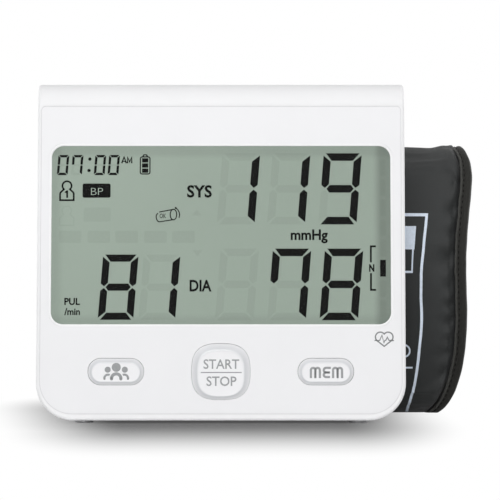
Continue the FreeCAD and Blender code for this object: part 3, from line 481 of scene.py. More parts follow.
# the white lip between the panel and the display: a low step, a gentle slope and a rounded inner edge
rim_rings = [on_face(x, WINDOW_MIDDLE + y, depth) for (x, y), depth in (
    (window_outline(inset), depth) for inset, depth in
    ((-0.92, -0.4), (-0.92, -0.08), (-0.84, -0.03), (-0.12, -0.16), (-0.03, -0.21), (0.02, -0.31),
     (0.02, -0.6)))]
make_piece("window_rim", sheet_of(np.stack(rim_rings), close_columns=True), RIM_WHITE, "monitor")


# Seam between the panel and the case

PANEL_HALF = 78.2
PANEL_LOW, PANEL_HIGH = 3.1, 136.9
PANEL_RADII = (14.0, 1.6)
SEAM_GAP = 0.4


def panel_ring(grow, count=160):
    """The panel's outline grown by a margin: a rectangle with large lower and small upper corners."""
    angle = (np.arange(count) + 0.5) * (2.0 * math.pi / count)
    c, s = np.cos(angle), np.sin(angle)
    radius = np.where(s < 0, PANEL_RADII[0], PANEL_RADII[1]) + grow
    x = np.sign(c) * (PANEL_HALF + grow - radius) + radius * c
    y = np.where(s < 0, PANEL_LOW - grow + radius, PANEL_HIGH + grow - radius) + radius * s
    return x, y


# a grey bead fills the seam's gap: its grey is painted shade
bead_rings = [on_face(*panel_ring(SEAM_GAP / 2 + offset), depth)
              for offset, depth in ((0.28, -0.5), (0.26, -0.12), (0.1, -0.18), (-0.1, -0.18),
                                    (-0.26, -0.12), (-0.28, -0.5))]
make_piece("panel_seam_bead", sheet_of(np.stack(bead_rings), close_columns=True), SEAM_SHADE_GREY, "monitor")


# Flat printed shapes, in millimetres across and up

def filled(corners):
    """One flat face from its corners."""
    corners = np.asarray(corners, float)
    return corners, [np.arange(len(corners))[None, :]]


def stroke(path, width, closed=False):
    """A line of even width along a path: each point moves half the width to both sides, mitred at bends."""
    path = np.asarray(path, float)
    before = np.roll(path, 1, 0) if closed else np.concatenate([path[:1], path[:-1]])
    after = np.roll(path, -1, 0) if closed else np.concatenate([path[1:], path[-1:]])
    first, second = path - before, after - path
    first = np.where(np.hypot(*first.T)[:, None] > 0, first, second)
    second = np.where(np.hypot(*second.T)[:, None] > 0, second, first)
    first = first / np.hypot(*first.T)[:, None]
    second = second / np.hypot(*second.T)[:, None]
    normal = np.stack([-(first + second)[:, 1], (first + second)[:, 0]], 1)
    normal = normal / np.hypot(*normal.T)[:, None]
    square = np.stack([-first[:, 1], first[:, 0]], 1)
    reach = width / 2 / np.clip((normal * square).sum(1), 0.5, 1.0)
    sides = np.stack([path + normal * reach[:, None], path - normal * reach[:, None]], 1)
    rows = len(path)
    i = np.arange(rows if closed else rows - 1)
    j = (i + 1) % rows
    return sides.reshape(-1, 2), [np.stack([2 * i, 2 * i + 1, 2 * j + 1, 2 * j], 1)]


def round_path(middle, radius, start, end, count=24, squash=1.0):
    """Points along an arc from one angle to another, in degrees."""
    angle = np.radians(np.linspace(start, end, count))
    return np.stack([middle[0] + radius * np.cos(angle), middle[1] + radius * squash * np.sin(angle)], 1)


def disc(middle, radius, count=32):
    """A round dot."""
    return filled(round_path(middle, radius, 0.0, 360.0 * (count - 1) / count, count))


def box_frame(left, right, low, high, radius, width):
    """The outline of a rounded box as a line."""
    x, y = rounded_ring((right - left) / 2, (high - low) / 2, radius, 40)
    return stroke(np.stack([(left + right) / 2 + x, (low + high) / 2 + y], 1), width, closed=True)


def lettering(text, left, right, low, high, weight=0.012):
    """A word in the plain built-in letters, thickened by a weight, made flat faces and stretched to fill its
    box."""
    curve = bpy.data.curves.new("lettering", "FONT")
    curve.body = text
    curve.resolution_u = 3
    curve.offset = weight
    holder = bpy.data.objects.new("lettering", curve)
    bpy.context.scene.collection.objects.link(holder)
    mesh = bpy.data.meshes.new_from_object(holder)
    points = np.empty(len(mesh.vertices) * 3)
    mesh.vertices.foreach_get("co", points)
    points = points.reshape(-1, 3)[:, :2]
    faces = [np.array([list(face.vertices) for face in mesh.polygons if len(face.vertices) == size])
             for size in sorted({len(face.vertices) for face in mesh.polygons})]
    bpy.data.objects.remove(holder)
    bpy.data.curves.remove(curve)
    bpy.data.meshes.remove(mesh)
    lowest, highest = points.min(0), points.max(0)
    points = (points - lowest) / (highest - lowest)
    return points * np.array([right - left, high - low]) + np.array([left, low]), faces


def printed(name, shapes, depth, material, body):
    """Flat shapes laid on the face at a depth, facing out."""
    points, faces = together(shapes)
    turned = []
    for group in faces:
        corner = points[group]
        x, y = corner[..., 0], corner[..., 1]
        area = (x * np.roll(y, -1, 1) - np.roll(x, -1, 1) * y).sum(1)
        turned.append(np.where((area > 0)[:, None], group, group[:, ::-1]))
    return make_piece(name, (on_face(points[:, 0], points[:, 1], depth), turned), material, body,
                      smooth=False)


# Display: seven-segment digits

SEGMENTS_OF = {"0": "abcdef", "1": "bc", "2": "abdeg", "3": "abcdg", "4": "bcfg", "5": "acdfg", "6": "acdefg",
               "7": "abcf", "8": "abcdefg", "9": "abcdfg", "": ""}
DIGIT_SLANT = 0.0787


def digit_segments(left, low, width, height, bar, names):
    """The named segments of one slanted digit: mitred bars round a box with cut corners and a six-sided
    middle. The small digits have blunter ends."""
    cut, gap = 0.3 * bar, 0.11 * bar
    middle, half = height / 2, bar / 2
    end = half if bar > 2.0 else 0.35 * half
    corners = {
        "a": [(cut, height), (width - cut, height), (width - bar - gap, height - bar),
              (bar + gap, height - bar)],
        "d": [(cut, 0), (bar + gap, bar), (width - bar - gap, bar), (width - cut, 0)],
        "f": [(0, height - cut), (bar, height - bar - gap), (bar, middle + end + gap), (half, middle + gap),
              (0, middle + end * 0.8 + gap)],
        "e": [(0, cut), (0, middle - end * 0.8 - gap), (half, middle - gap), (bar, middle - end - gap),
              (bar, bar + gap)],
        "b": [(width, height - cut), (width, middle + end * 0.8 + gap), (width - half, middle + gap),
              (width - bar, middle + end + gap), (width - bar, height - bar - gap)],
        "c": [(width, cut), (width - bar, bar + gap), (width - bar, middle - end - gap),
              (width - half, middle - gap), (width, middle - end * 0.8 - gap)],
        "g": [(half + 2 * gap, middle), (bar + gap, middle + half), (width - bar - gap, middle + half),
              (width - half - 2 * gap, middle), (width - bar - gap, middle - half),
              (bar + gap, middle - half)],
    }
    shapes = []
    for name in names:
        points = np.array(corners[name], float)
        points = np.stack([left + points[:, 0] + DIGIT_SLANT * points[:, 1], low + points[:, 1]], 1)
        shapes.append(filled(points))
    return shapes


# left, foot, width, height and bar of each digit, and what it shows
DIGITS = (
    (-1.9, 85.3, 16.5, 31.2, 3.3, "1"), (20.0, 85.3, 16.5, 31.2, 3.3, "1"),
    (42.3, 85.3, 16.6, 31.2, 3.3, "9"),
    (-2.6, 43.5, 16.7, 31.2, 3.3, ""), (20.1, 43.5, 16.7, 31.2, 3.3, "7"), (42.7, 43.5, 16.7, 31.2, 3.3, "8"),
    (-53.4, 43.7, 15.4, 28.4, 3.1, "8"), (-35.75, 43.7, 15.9, 28.4, 3.1, "1"),
    (-71.6, 106.9, 4.75, 8.85, 1.05, "0"), (-65.4, 106.9, 4.75, 8.85, 1.05, "7"),
    (-55.5, 106.9, 4.75, 8.85, 1.05, "0"), (-49.5, 106.9, 4.75, 8.85, 1.05, "0"),
)
dark, faint = [], []
for left, low, width, height, bar, figure in DIGITS:
    lit = SEGMENTS_OF[figure]
    dark += digit_segments(left, low, width, height, bar, lit)
    faint += digit_segments(left, low, width, height, bar, [name for name in "abcdefg" if name not in lit])
dark += [disc((-57.55, 108.95), 0.72), disc((-57.2, 113.95), 0.72)]
printed("display_digits", dark, INK_DEPTH, SEGMENT_INK, "monitor")


# Display: words and signs

def person_outline(middle, low, width, height, line):
    """A keyhole figure: a round head running into shoulders over a flat base."""
    half = width / 2
    head = 0.24 * height
    left = [(middle - half, low), (middle - half, low + 0.35 * height),
            (middle - 0.92 * half, low + 0.41 * height)]
    crown = round_path((middle, low + height - head), head, 230.0, -50.0, 28)
    right = [(2 * middle - x, y) for x, y in reversed(left)]
    return stroke(np.concatenate([left, crown, right]), line, closed=True)


BOLD = 0.028
signs = [
    stroke([(-43.3, 112.1), (-42.3, 114.85), (-41.3, 112.1)], 0.62),
    stroke([(-42.8, 112.95), (-41.8, 112.95)], 0.42),
    stroke([(-40.75, 112.1), (-40.75, 114.75), (-39.85, 112.7), (-38.95, 114.75), (-38.95, 112.1)], 0.6),
    lettering("SYS", -14.8, -4.0, 97.0, 102.5, BOLD),
    lettering("DIA", -13.6, -4.1, 56.0, 61.1, BOLD),
    lettering("mmHg", 30.3, 46.4, 77.0, 83.1, BOLD),
    lettering("PUL", -67.9, -61.1, 50.1, 53.2, BOLD),
    lettering("/min", -67.9, -61.1, 45.7, 48.8, BOLD),
    stroke([(-67.0, 100.2), (-67.0, 96.95)], 0.8),
    stroke([(-67.95, 99.2), (-67.05, 99.95)], 0.6),
    person_outline(-67.1, 95.9, 5.95, 8.3, 0.75),
    box_frame(-35.2, -31.0, 107.4, 114.9, 0.8, 0.5),
    stroke([(-34.2, 114.9), (-33.7, 115.8), (-32.5, 115.8), (-32.0, 114.9)], 0.5),
]
for rise in (107.95, 110.2, 112.45):
    signs.append(filled([(-34.45, rise), (-31.75, rise), (-31.75, rise + 1.85), (-34.45, rise + 1.85)]))
badge_x, badge_y = rounded_ring(6.1, 3.1, 0.8, 40)
signs.append(filled(np.stack([badge_x - 54.2, badge_y + 100.1], 1)))
# the wrapped cuff sign: a lying tube with an open near end, and an arc beside it
signs += [
    stroke([(-27.5, 90.2), (-28.1, 89.4), (-28.25, 88.6), (-28.05, 87.6), (-27.6, 86.8), (-26.9, 86.4),
            (-21.2, 87.3)], 0.45),
    stroke([(-26.9, 90.7), (-21.9, 91.65), (-20.6, 91.9)], 0.45),
    stroke(round_path((-20.7, 89.6), 1.4, 0.0, 352.5, 48, 1.65), 0.45, closed=True),
    stroke([(-19.8, 92.5), (-18.9, 91.8), (-18.3, 90.85), (-18.0, 89.6), (-18.25, 88.2)], 0.45),
    disc((-19.75, 92.5), 0.42),
    lettering("OK", -26.7, -23.9, 88.0, 90.0, 0.01),
    stroke([(67.3, 75.7), (65.1, 75.7), (65.1, 68.7)], 0.8),
    stroke([(65.1, 64.0), (65.1, 56.7), (67.3, 56.7)], 0.8),
    lettering("N", 64.3, 66.6, 64.6, 67.9, 0.05),
    filled([(69.1, 62.5), (71.6, 62.5), (71.6, 69.8), (69.1, 69.8)]),
]
printed("display_signs", signs, INK_DEPTH, SEGMENT_INK, "monitor")
printed("display_badge_letters", [lettering("BP", -56.6, -51.4, 98.2, 101.25, -0.018)], INK_DEPTH + 0.015,
        BADGE_INK, "monitor")

boxes = [(left + 4.9, 79.85, 4.9, 2.65) for left in (-70.5, -58.0, -45.9, -33.4, -21.2)]
boxes.append((-53.9, 89.6, 5.9, 3.1))
for across, up, half_width, half_height in boxes:
    box_x, box_y = rounded_ring(half_width, half_height, 0.8, 40)
    faint.append(filled(np.stack([across + box_x, up + box_y], 1)))
faint.append(person_outline(-67.1, 84.9, 6.2, 8.4, 0.5))
faint.append(filled([(-10.5, 92.0), (-12.6, 89.2), (-8.4, 89.2)]))
faint.append(filled([(-10.2, 71.2), (-12.3, 74.0), (-8.1, 74.0)]))
for rise in (45.0, 53.7, 71.4, 80.2, 89.0, 97.8, 106.6):
    faint.append(filled([(69.1, rise), (71.7, rise), (71.7, rise + 7.1), (69.1, rise + 7.1)]))
printed("display_faint_segments", faint, INK_DEPTH - 0.015, GHOST_INK, "monitor")


# Heart sign on the panel

def heart_line(middle, low, half, height, lobe):
    """A heart: two round lobes side by side, with straight sides that touch them and meet in a point."""
    centre = np.array([half - lobe, height - lobe])
    turn = math.atan2(centre[1], centre[0]) - math.asin(lobe / np.hypot(*centre)) - math.pi / 2
    notch = math.pi - math.asin(math.sqrt(lobe ** 2 - centre[0] ** 2) / lobe)
    right = round_path(centre, lobe, math.degrees(turn), math.degrees(notch), 30)
    left = right[::-1] * np.array([-1.0, 1.0])
    return np.concatenate([[(0.0, 0.0)], right, left[1:]]) + np.array([middle, low])


PANEL_PRINT = 0.03
pulse = [(66.5, 34.6), (67.2, 34.75), (67.9, 34.6), (68.75, 34.75), (69.75, 37.0), (70.55, 33.65),
         (70.9, 34.65), (71.4, 34.75), (72.05, 36.1), (72.8, 34.65), (73.6, 34.75), (74.2, 34.6),
         (74.9, 34.7)]
printed("heart_mark", [stroke(heart_line(70.7, 32.15, 3.8, 6.15, 2.12), 0.58, closed=True),
                       stroke(pulse, 0.48)], PANEL_PRINT, PANEL_INK, "monitor")


# Buttons

def superellipse(half_width, half_height, power, count=128):
    """A closed outline between an ellipse and a rectangle, by the power of its two terms."""
    angle = np.arange(count) * (2.0 * math.pi / count)
    c, s = np.cos(angle), np.sin(angle)
    x = half_width * np.sign(c) * np.abs(c) ** (2.0 / power)
    y = half_height * np.sign(s) * np.abs(s) ** (2.0 / power)
    return x, y


# rings of a cap: hidden skirt, foot in the gap, up the slope, over its soft edge and across the flat middle
CAP_INSETS = np.array([-0.2, -0.2, -0.1, 0.1, 1.0, 1.7, 2.05, 2.25, 2.45, 2.8, 3.2, 5.4])
CAP_HEIGHTS = np.array([CAP_SINK, -0.3, -0.26, -0.2, 0.18, 0.47, 0.60, 0.65, 0.66, 0.64, 0.63, 0.63])
# how far each ring, and the middle, takes the greyer tone: painted shade on the slope and in the gap round
# the cap
CAP_PAINTED_SHADE = np.array([0.35, 0.35, 0.35, 0.4, 0.75, 1.0, 1.0, 0.8, 0.45, 0.15, 0.0, 0.0, 0.0])
SMALL_CAP = (0.66, 0.8)
CAP_DROP = 0.22


def start_outline(inset):
    """The middle button's outline drawn in by an inset, more from above than from below."""
    x, y = superellipse(START_HALF[0] - inset, START_HALF[1] - 0.86 * inset, START_SQUARENESS)
    return x, y - 1.4 * CAP_DROP * max(inset, 0.0)


def small_outline(inset):
    """A small button's outline drawn in by an inset, more from above than from below: full round ends."""
    half_width, half_height = SMALL_HALF[0] - inset, SMALL_HALF[1] - inset
    x, y = rounded_ring(half_width, half_height, half_height * 0.98, 128)
    return x, y - CAP_DROP * max(inset, 0.0)


def button_cap(name, across, outline, width, rise, body, node):
    """A button cap on its body, in place of the plain one, with its slope's width and height as shares and
    the slope marked for its painted shade."""
    heights = np.where(CAP_HEIGHTS > CAP_SINK, CAP_HEIGHTS * rise, CAP_SINK)
    shape = plate_shape(across, BUTTON_ROW, CAP_INSETS * width, heights, outline)
    rings = len(heights) + 1
    slope = np.repeat(CAP_PAINTED_SHADE, len(shape[0]) // rings)
    cap = make_piece(name, shape, BUTTON_WHITE, body, np.stack([0.0 * slope, slope], 1))
    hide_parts(node)


button_cap("start_stop_cap", 0.0, start_outline, 1.0, 1.0, "start_stop_button", "start_stop_button")
button_cap("user_cap", -SMALL_PLACE, small_outline, *SMALL_CAP, "user_button", "user_button")
button_cap("memory_cap", SMALL_PLACE, small_outline, *SMALL_CAP, "memory_button", "memory_button")

CAP_PRINT = CAP_HEIGHTS[-1] + 0.03
SMALL_CAP_PRINT = CAP_HEIGHTS[-1] * SMALL_CAP[1] + 0.03
printed("start_stop_print", [
    lettering("START", -7.5, 7.95, 22.3, 26.5, 0.012),
    lettering("STOP", -6.2, 6.75, 14.9, 19.1, 0.012),
    filled([(-8.7, 20.55), (9.0, 20.55), (9.0, 21.0), (-8.7, 21.0)]),
], CAP_PRINT, GREY_INK, "start_stop_button")


def arch_with_feet(middle, radius, foot, width):
    """A round arch with short straight legs, as a line."""
    crown = round_path(middle, radius, 180.0, 0.0, 24)
    left = [(middle[0] - radius, middle[1] - foot)]
    right = [(middle[0] + radius, middle[1] - foot)]
    return stroke(np.concatenate([left, crown, right]), width)


USER_X = -SMALL_PLACE + 0.2
user_marks = [
    disc((USER_X, BUTTON_ROW + 1.8), 1.95),
    disc((USER_X - 3.7, BUTTON_ROW + 0.8), 1.3),
    disc((USER_X + 3.7, BUTTON_ROW + 0.8), 1.3),
    arch_with_feet((USER_X, BUTTON_ROW - 3.0), 2.0, 0.2, 1.35),
    stroke(round_path((USER_X - 3.55, BUTTON_ROW - 2.9), 1.55, 190.0, 62.0), 0.95),
    stroke(round_path((USER_X + 3.55, BUTTON_ROW - 2.9), 1.55, -10.0, 118.0), 0.95),
]
for out, drop, radius in ((2.0, 3.2, 0.675), (5.08, 3.17, 0.475)):
    user_marks += [disc((USER_X + side * out, BUTTON_ROW - drop), radius, 20) for side in (-1, 1)]
printed("user_print", user_marks, SMALL_CAP_PRINT, GREY_INK, "user_button")


def memory_letters():
    """Three round-cornered letters as lines of even width: two arched ones about one with three bars."""
    line, low, high = 0.95, 18.35, 23.25
    shapes = []
    for start in (38.9, 48.5):
        radius = 0.97
        for side in (0, 1):
            middle = (start + radius + side * 2 * radius, high - line / 2 - radius)
            crown = round_path(middle, radius, 180.0, 0.0, 20)
            path = np.concatenate([[(middle[0] - radius, low)], crown, [(middle[0] + radius, low)]])
            shapes.append(stroke(path, line))
    right, left, middle = 47.35, 44.45, (low + high) / 2
    top, bottom = high - line / 2, low + line / 2
    for end, upper, lower in ((right + 0.2, top, middle), (right - 0.2, middle, bottom)):
        bow = round_path((left + 1.0, (upper + lower) / 2), (upper - lower) / 2, 90.0, 270.0, 20)
        shapes.append(stroke(np.concatenate([[(end, upper)], bow, [(right - 0.2, lower)]]), line))
    return shapes


printed("memory_print", memory_letters(), SMALL_CAP_PRINT, GREY_INK, "memory_button")


# Cuff

SIDE_RISE = CUFF_HALF_HEIGHT - FOLD_RADIUS
SIDE_RADIUS = ((CUFF_HALF_DEPTH ** 2 + SIDE_RISE ** 2 - FOLD_RADIUS ** 2)
               / (2.0 * (CUFF_HALF_DEPTH - FOLD_RADIUS)))
SIDE_REACH = SIDE_RADIUS - CUFF_HALF_DEPTH
TURN_AT = math.atan2(SIDE_RISE, SIDE_REACH)
GAP_ANGLE = math.asin(GAP_HALF / SIDE_RADIUS)


def loop_turns(count, start, end):
    """Facing angles round the oval, spaced by the length of cloth between them, from one angle to another."""
    fine = np.linspace(start, end, 4000)
    wrapped = np.abs((fine + math.pi / 2) % math.pi - math.pi / 2)
    radius = np.where(wrapped < TURN_AT, SIDE_RADIUS, FOLD_RADIUS)
    length = np.concatenate([[0.0], np.cumsum((radius[1:] + radius[:-1]) / 2 * np.diff(fine))])
    along = np.linspace(0.0, length[-1], count)
    return np.interp(along, length, fine), along


def loop_place(angle):
    """The oval's centre of curvature and radius at each facing angle: two flat sides and two folds."""
    c, s = np.cos(angle), np.sin(angle)
    side = np.abs(s) < math.sin(TURN_AT)
    centre_y = np.where(side, -np.sign(c) * SIDE_REACH, 0.0)
    centre_z = np.where(side, 0.0, np.sign(s) * SIDE_RISE)
    radius = np.where(side, SIDE_RADIUS, FOLD_RADIUS)
    return centre_y, centre_z, radius


def loop_points(angle, inset):
    """Depth and height of the oval drawn in by an inset: centre of curvature plus the shortened radius."""
    centre_y, centre_z, radius = loop_place(angle)
    y = CUFF_Y + centre_y + (radius - inset) * np.cos(angle)
    z = CUFF_Z + centre_z + (radius - inset) * np.sin(angle)
    return y, z


def eased(place, knots, values):
    """A smooth line through given points: cubic pieces whose slopes come from the points next to each."""
    knots, values = np.asarray(knots, float), np.asarray(values, float)
    slope = np.gradient(values, knots)
    place = np.clip(place, knots[0], knots[-1])
    i = np.clip(np.searchsorted(knots, place, side="right") - 1, 0, len(knots) - 2)
    step = knots[i + 1] - knots[i]
    t = (place - knots[i]) / step
    return ((2 * t ** 3 - 3 * t ** 2 + 1) * values[i] + (t ** 3 - 2 * t ** 2 + t) * step * slope[i]
            + (3 * t ** 2 - 2 * t ** 3) * values[i + 1] + (t ** 3 - t ** 2) * step * slope[i + 1])


# half the cuff's width at heights up it: long lower corners, a waist, fuller shoulders and soft upper corners
OUTLINE_HEIGHTS = (-1.0, 0.6, 2.3, 4.7, 8.5, 12.7, 20.0, 29.8, 42.4, 61.3, 72.1, 83.9, 93.3, 104.0, 111.2,
                   117.7, 120.3, 121.6, 122.5)
OUTLINE_HALVES = (54.5, 57.8, 60.7, 63.0, 65.1, 66.5, 68.4, 69.8, 70.3, 70.0, 69.9, 70.7, 71.7, 72.8, 73.2,
                  72.2, 71.0, 69.9, 68.6)


def cuff_half_width(z):
    """Half the cuff's width at a height."""
    return eased(z, OUTLINE_HEIGHTS, OUTLINE_HALVES)


def closed_band(front, back, along):
    """A padded band from the grids of its two faces: they join along both edges, strips close both ends, and
    the cloth's own width and length go with it."""
    columns = front.shape[1]
    points = np.concatenate([front, back[:, ::-1]], 1) * MM
    shape_points, faces = sheet_of(points, close_columns=True)
    j = np.arange(columns - 1)
    first = np.stack([j + 1, j, 2 * columns - 1 - j, 2 * columns - 2 - j], 1)
    last = first[:, ::-1] + (len(points) - 1) * 2 * columns
    uv = np.stack([points[..., 0], np.repeat(along[:, None] * MM, 2 * columns, 1)], -1).reshape(-1, 2)
    return (shape_points, faces + [first, last]), uv


def band_shape(angle, along, outer, inner, left, right, share):
    """A padded band round the loop, between a left and a right line: its outer and inner faces each lie at
    their own inset."""
    x = left[:, None] + (right - left)[:, None] * share
    front, back = (np.stack([x, *loop_points(angle[:, None], inset)], -1) for inset in (outer, inner))
    return closed_band(front, back, along)


# the sewn edge, as ways in from the cuff's end: the seam's piping, the row of stitches and the cover's hem
# under the tape; then how deep the seam and the stitches lie, and how far in the cover still rises
PIPING_IN = 4.9
STITCH_IN = 3.8
HEM_IN = 4.6
SEAM_DEEP = 4.2
STITCH_DEEP = 0.88
CROWN_RUN = 26.0


def cuff_crown(edge):
    """How full the cuff is at a way in from its hem: a quarter sine over its crown's run, then level."""
    return np.sin(np.clip(edge / CROWN_RUN, 0.0, 1.0) * math.pi / 2)


# dents in the cover along the right seam: height, depth, half height and how far they run in
DENTS = ((105.7, 1.5, 2.2, 2.6), (93.3, 2.2, 3.0, 4.4), (81.5, 1.5, 2.6, 3.2), (70.5, 2.4, 4.6, 7.5),
         (59.5, 1.9, 3.2, 4.2), (49.8, 2.2, 2.4, 3.2), (42.3, 2.4, 3.0, 4.4), (34.0, 2.0, 2.6, 4.2),
         (27.5, 2.4, 2.8, 5.6), (19.5, 2.2, 3.2, 4.4))


def near_top(z):
    """A share that rises smoothly from nothing below the cuff's upper fold to one on top of it."""
    rise = np.clip((z - 104.0) / 17.0, 0.0, 1.0)
    return rise ** 2 * (3.0 - 2.0 * rise)


def seam_dents(edge, z, right):
    """How deep the cover is drawn in beside the seam: on the right bells at set heights, each with a lower
    ridge above and below it, on the left a slow ripple, and on top a hollow between the sewn edges."""
    past = np.maximum(edge - 1.2, 0.0)
    deep = sum(depth * np.exp(-(past / reach) ** 2) * (np.exp(-((z - height) / tall) ** 2)
               - 0.35 * np.exp(-((np.abs(z - height + 0.3 * past) / tall - 1.9) / 0.8) ** 2))
               for height, depth, tall, reach in DENTS)
    ripple = (0.6 + 0.6 * np.sin(z * 0.52 + 1.3 * np.sin(z * 0.17))) * np.exp(-(past / 5.0) ** 2)
    step = np.clip((edge - 4.0) / 7.0, 0.0, 1.0)
    sag = 1.4 * step ** 2 * (3.0 - 2.0 * step) - 0.3 * np.exp(-((edge - 1.5) / 2.5) ** 2)
    return np.where(right, deep, ripple) + sag * near_top(z)


def fold_fullness(turn):
    """How far the sewn edge stands out over the folds: a little on the top one, more where the lower one
    spreads on the floor."""
    return np.where(np.sin(turn) > 0, 1.1, 1.5) * np.abs(np.sin(turn)) ** 4


def cover_inset(edge, z, turn):
    """The cover's inset before it swells: deep at the seam but level with it over the folds, rolling up over
    a few millimetres, with a fuller upper corner."""
    roll = 1.0 - np.exp(-np.maximum(edge - 1.0, 0.0) / 0.7)
    seam = SEAM_DEEP - np.where(np.sin(turn) > 0, 3.8, 3.0) * np.abs(np.sin(turn)) ** 6 - fold_fullness(turn)
    shoulder = 0.6 * np.exp(-((edge - 4.5) / 4.5) ** 2) * near_top(z)
    return seam - (seam + 0.1) * roll - 0.4 * cuff_crown(edge) - shoulder


def on_floor(points, low=0.25):
    """Points let down onto the floor: none is lower than a hair above it."""
    points[..., 2] = np.maximum(points[..., 2], low * MM)
    return points


SWELL_STEPS = 20


def swollen(shape, held, loose, slack, pressure, most):
    """Cloth blown up from inside by the cloth solver: held points stay, loose ones have some slack, and no
    point moves further than a cap. The points come back and the solver's object is removed."""
    scene = bpy.context.scene
    mesh = mesh_of("swelling", shape)
    holder = bpy.data.objects.new("swelling", mesh)
    scene.collection.objects.link(holder)
    for name, weights in (("held", held), ("loose", loose)):
        group = holder.vertex_groups.new(name=name)
        for level in np.unique(weights[weights > 0]):
            group.add(np.flatnonzero(weights == level).tolist(), float(level), "REPLACE")
    cloth = holder.modifiers.new("swelling", "CLOTH")
    cloth.collision_settings.use_collision = False
    settings = cloth.settings
    settings.quality = 5
    settings.mass = 0.0004
    settings.tension_stiffness = settings.compression_stiffness = 5.0
    settings.shear_stiffness = 2.0
    settings.bending_stiffness = 0.02
    settings.use_pressure = True
    settings.uniform_pressure_force = pressure
    settings.vertex_group_mass = "held"
    settings.vertex_group_shrink = "loose"
    settings.shrink_min = 0.0
    settings.shrink_max = -slack
    settings.effector_weights.gravity = 0.0
    for step in range(1, SWELL_STEPS + 1):
        scene.frame_set(step)
    graph = bpy.context.evaluated_depsgraph_get()
    solved = holder.evaluated_get(graph)
    points = np.empty(len(mesh.vertices) * 3)
    solved.to_mesh().vertices.foreach_get("co", points)
    solved.to_mesh_clear()
    bpy.data.objects.remove(holder)
    bpy.data.meshes.remove(mesh)
    scene.frame_set(1)
    start = shape[0]
    move = points.reshape(-1, 3) - start
    far = np.linalg.norm(move, axis=1)
    return start + move * np.minimum(1.0, most * MM / np.maximum(far, 1e-9))[:, None]


# where the cover's back and the lining's front meet, how far in the hem is sewn down, and the slack, the
# pressure and the furthest move of the swelling
COVER_BACK = 4.6
LINING_FRONT = 4.65
SEWN_DOWN = 1.9
COVER_SLACK = 0.02
COVER_PRESSURE = 4.0
COVER_MOST = 1.6

cloth_turn, cloth_along = loop_turns(CLOTH_GRID[0], GAP_ANGLE, 2.0 * math.pi - GAP_ANGLE)
even = np.linspace(0.0, 1.0, CLOTH_GRID[1])
share = 0.3 * even + 0.7 * (1.0 - np.cos(even * math.pi)) / 2
_, cloth_z = loop_points(cloth_turn, TAPE)
half = cuff_half_width(cloth_z) - HEM_IN
edge = np.minimum(share, 1.0 - share)[None, :] * 2.0 * half[:, None]
cover_outer = cover_inset(edge, cloth_z[:, None], cloth_turn[:, None])
(cover_points, cover_faces), uv = band_shape(cloth_turn, cloth_along, cover_outer,
                                             np.full_like(cover_outer, COVER_BACK), CUFF_X - half,
                                             CUFF_X + half, share)
# the back face, the hem and both ends are sewn down; beside the seam the cloth has slack to pucker
sewn = np.ones((len(cloth_turn), 2 * len(share)))
sewn[2:-2, :len(share)] = np.where(edge < SEWN_DOWN, 1.0, 0.0)[2:-2]
slack = np.zeros_like(sewn)
slack[:, :len(share)] = np.round(np.exp(-((edge - 5.0) / 5.0) ** 2), 1)
cover_points = swollen((cover_points, cover_faces), sewn.ravel(), slack.ravel(), COVER_SLACK,
                       COVER_PRESSURE, COVER_MOST)
# the seam's dents come after the swelling, along the oval's own facing, as far as the cover has room for them
dent = np.zeros((len(cloth_turn), 2 * len(share)))
room = np.clip(1.0 - cover_outer / SEAM_DEEP, 0.0, 1.0)
dent[:, :len(share)] = seam_dents(edge, cloth_z[:, None], share[None, :] > 0.5) * room
facing = np.stack([0.0 * cloth_turn, np.cos(cloth_turn), np.sin(cloth_turn)], -1)
cover_points = on_floor(cover_points - (dent[..., None] * facing[:, None, :]).reshape(-1, 3) * MM)
cover = make_piece("cuff_cover", (cover_points, cover_faces), CUFF_CLOTH, "cuff", uv)
finer = cover.modifiers.new("finer", "SUBSURF")
finer.levels = finer.render_levels = 1
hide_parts("cuff_outer_cover", "cuff_bladder")

lining_wave = 0.25 * np.sin(cloth_along * 0.5)[:, None] * np.exp(-(edge / 7.0) ** 2)
lining_inner = LINING_IN + 0.1 - 0.5 * (1.0 - cuff_crown(edge)) + lining_wave
shape, uv = band_shape(cloth_turn, cloth_along, np.full_like(lining_inner, LINING_FRONT), lining_inner,
                       CUFF_X - half, CUFF_X + half, share)
lining = make_piece("cuff_inner_lining", shape, LINING_CLOTH, "cuff", uv)
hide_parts("cuff_lining")

edge_turn, edge_along = loop_turns(EDGE_ROWS, GAP_ANGLE, 2.0 * math.pi - GAP_ANGLE)
_, edge_z = loop_points(edge_turn, TAPE)
edge_end = cuff_half_width(edge_z)
edge_fuller = fold_fullness(edge_turn)


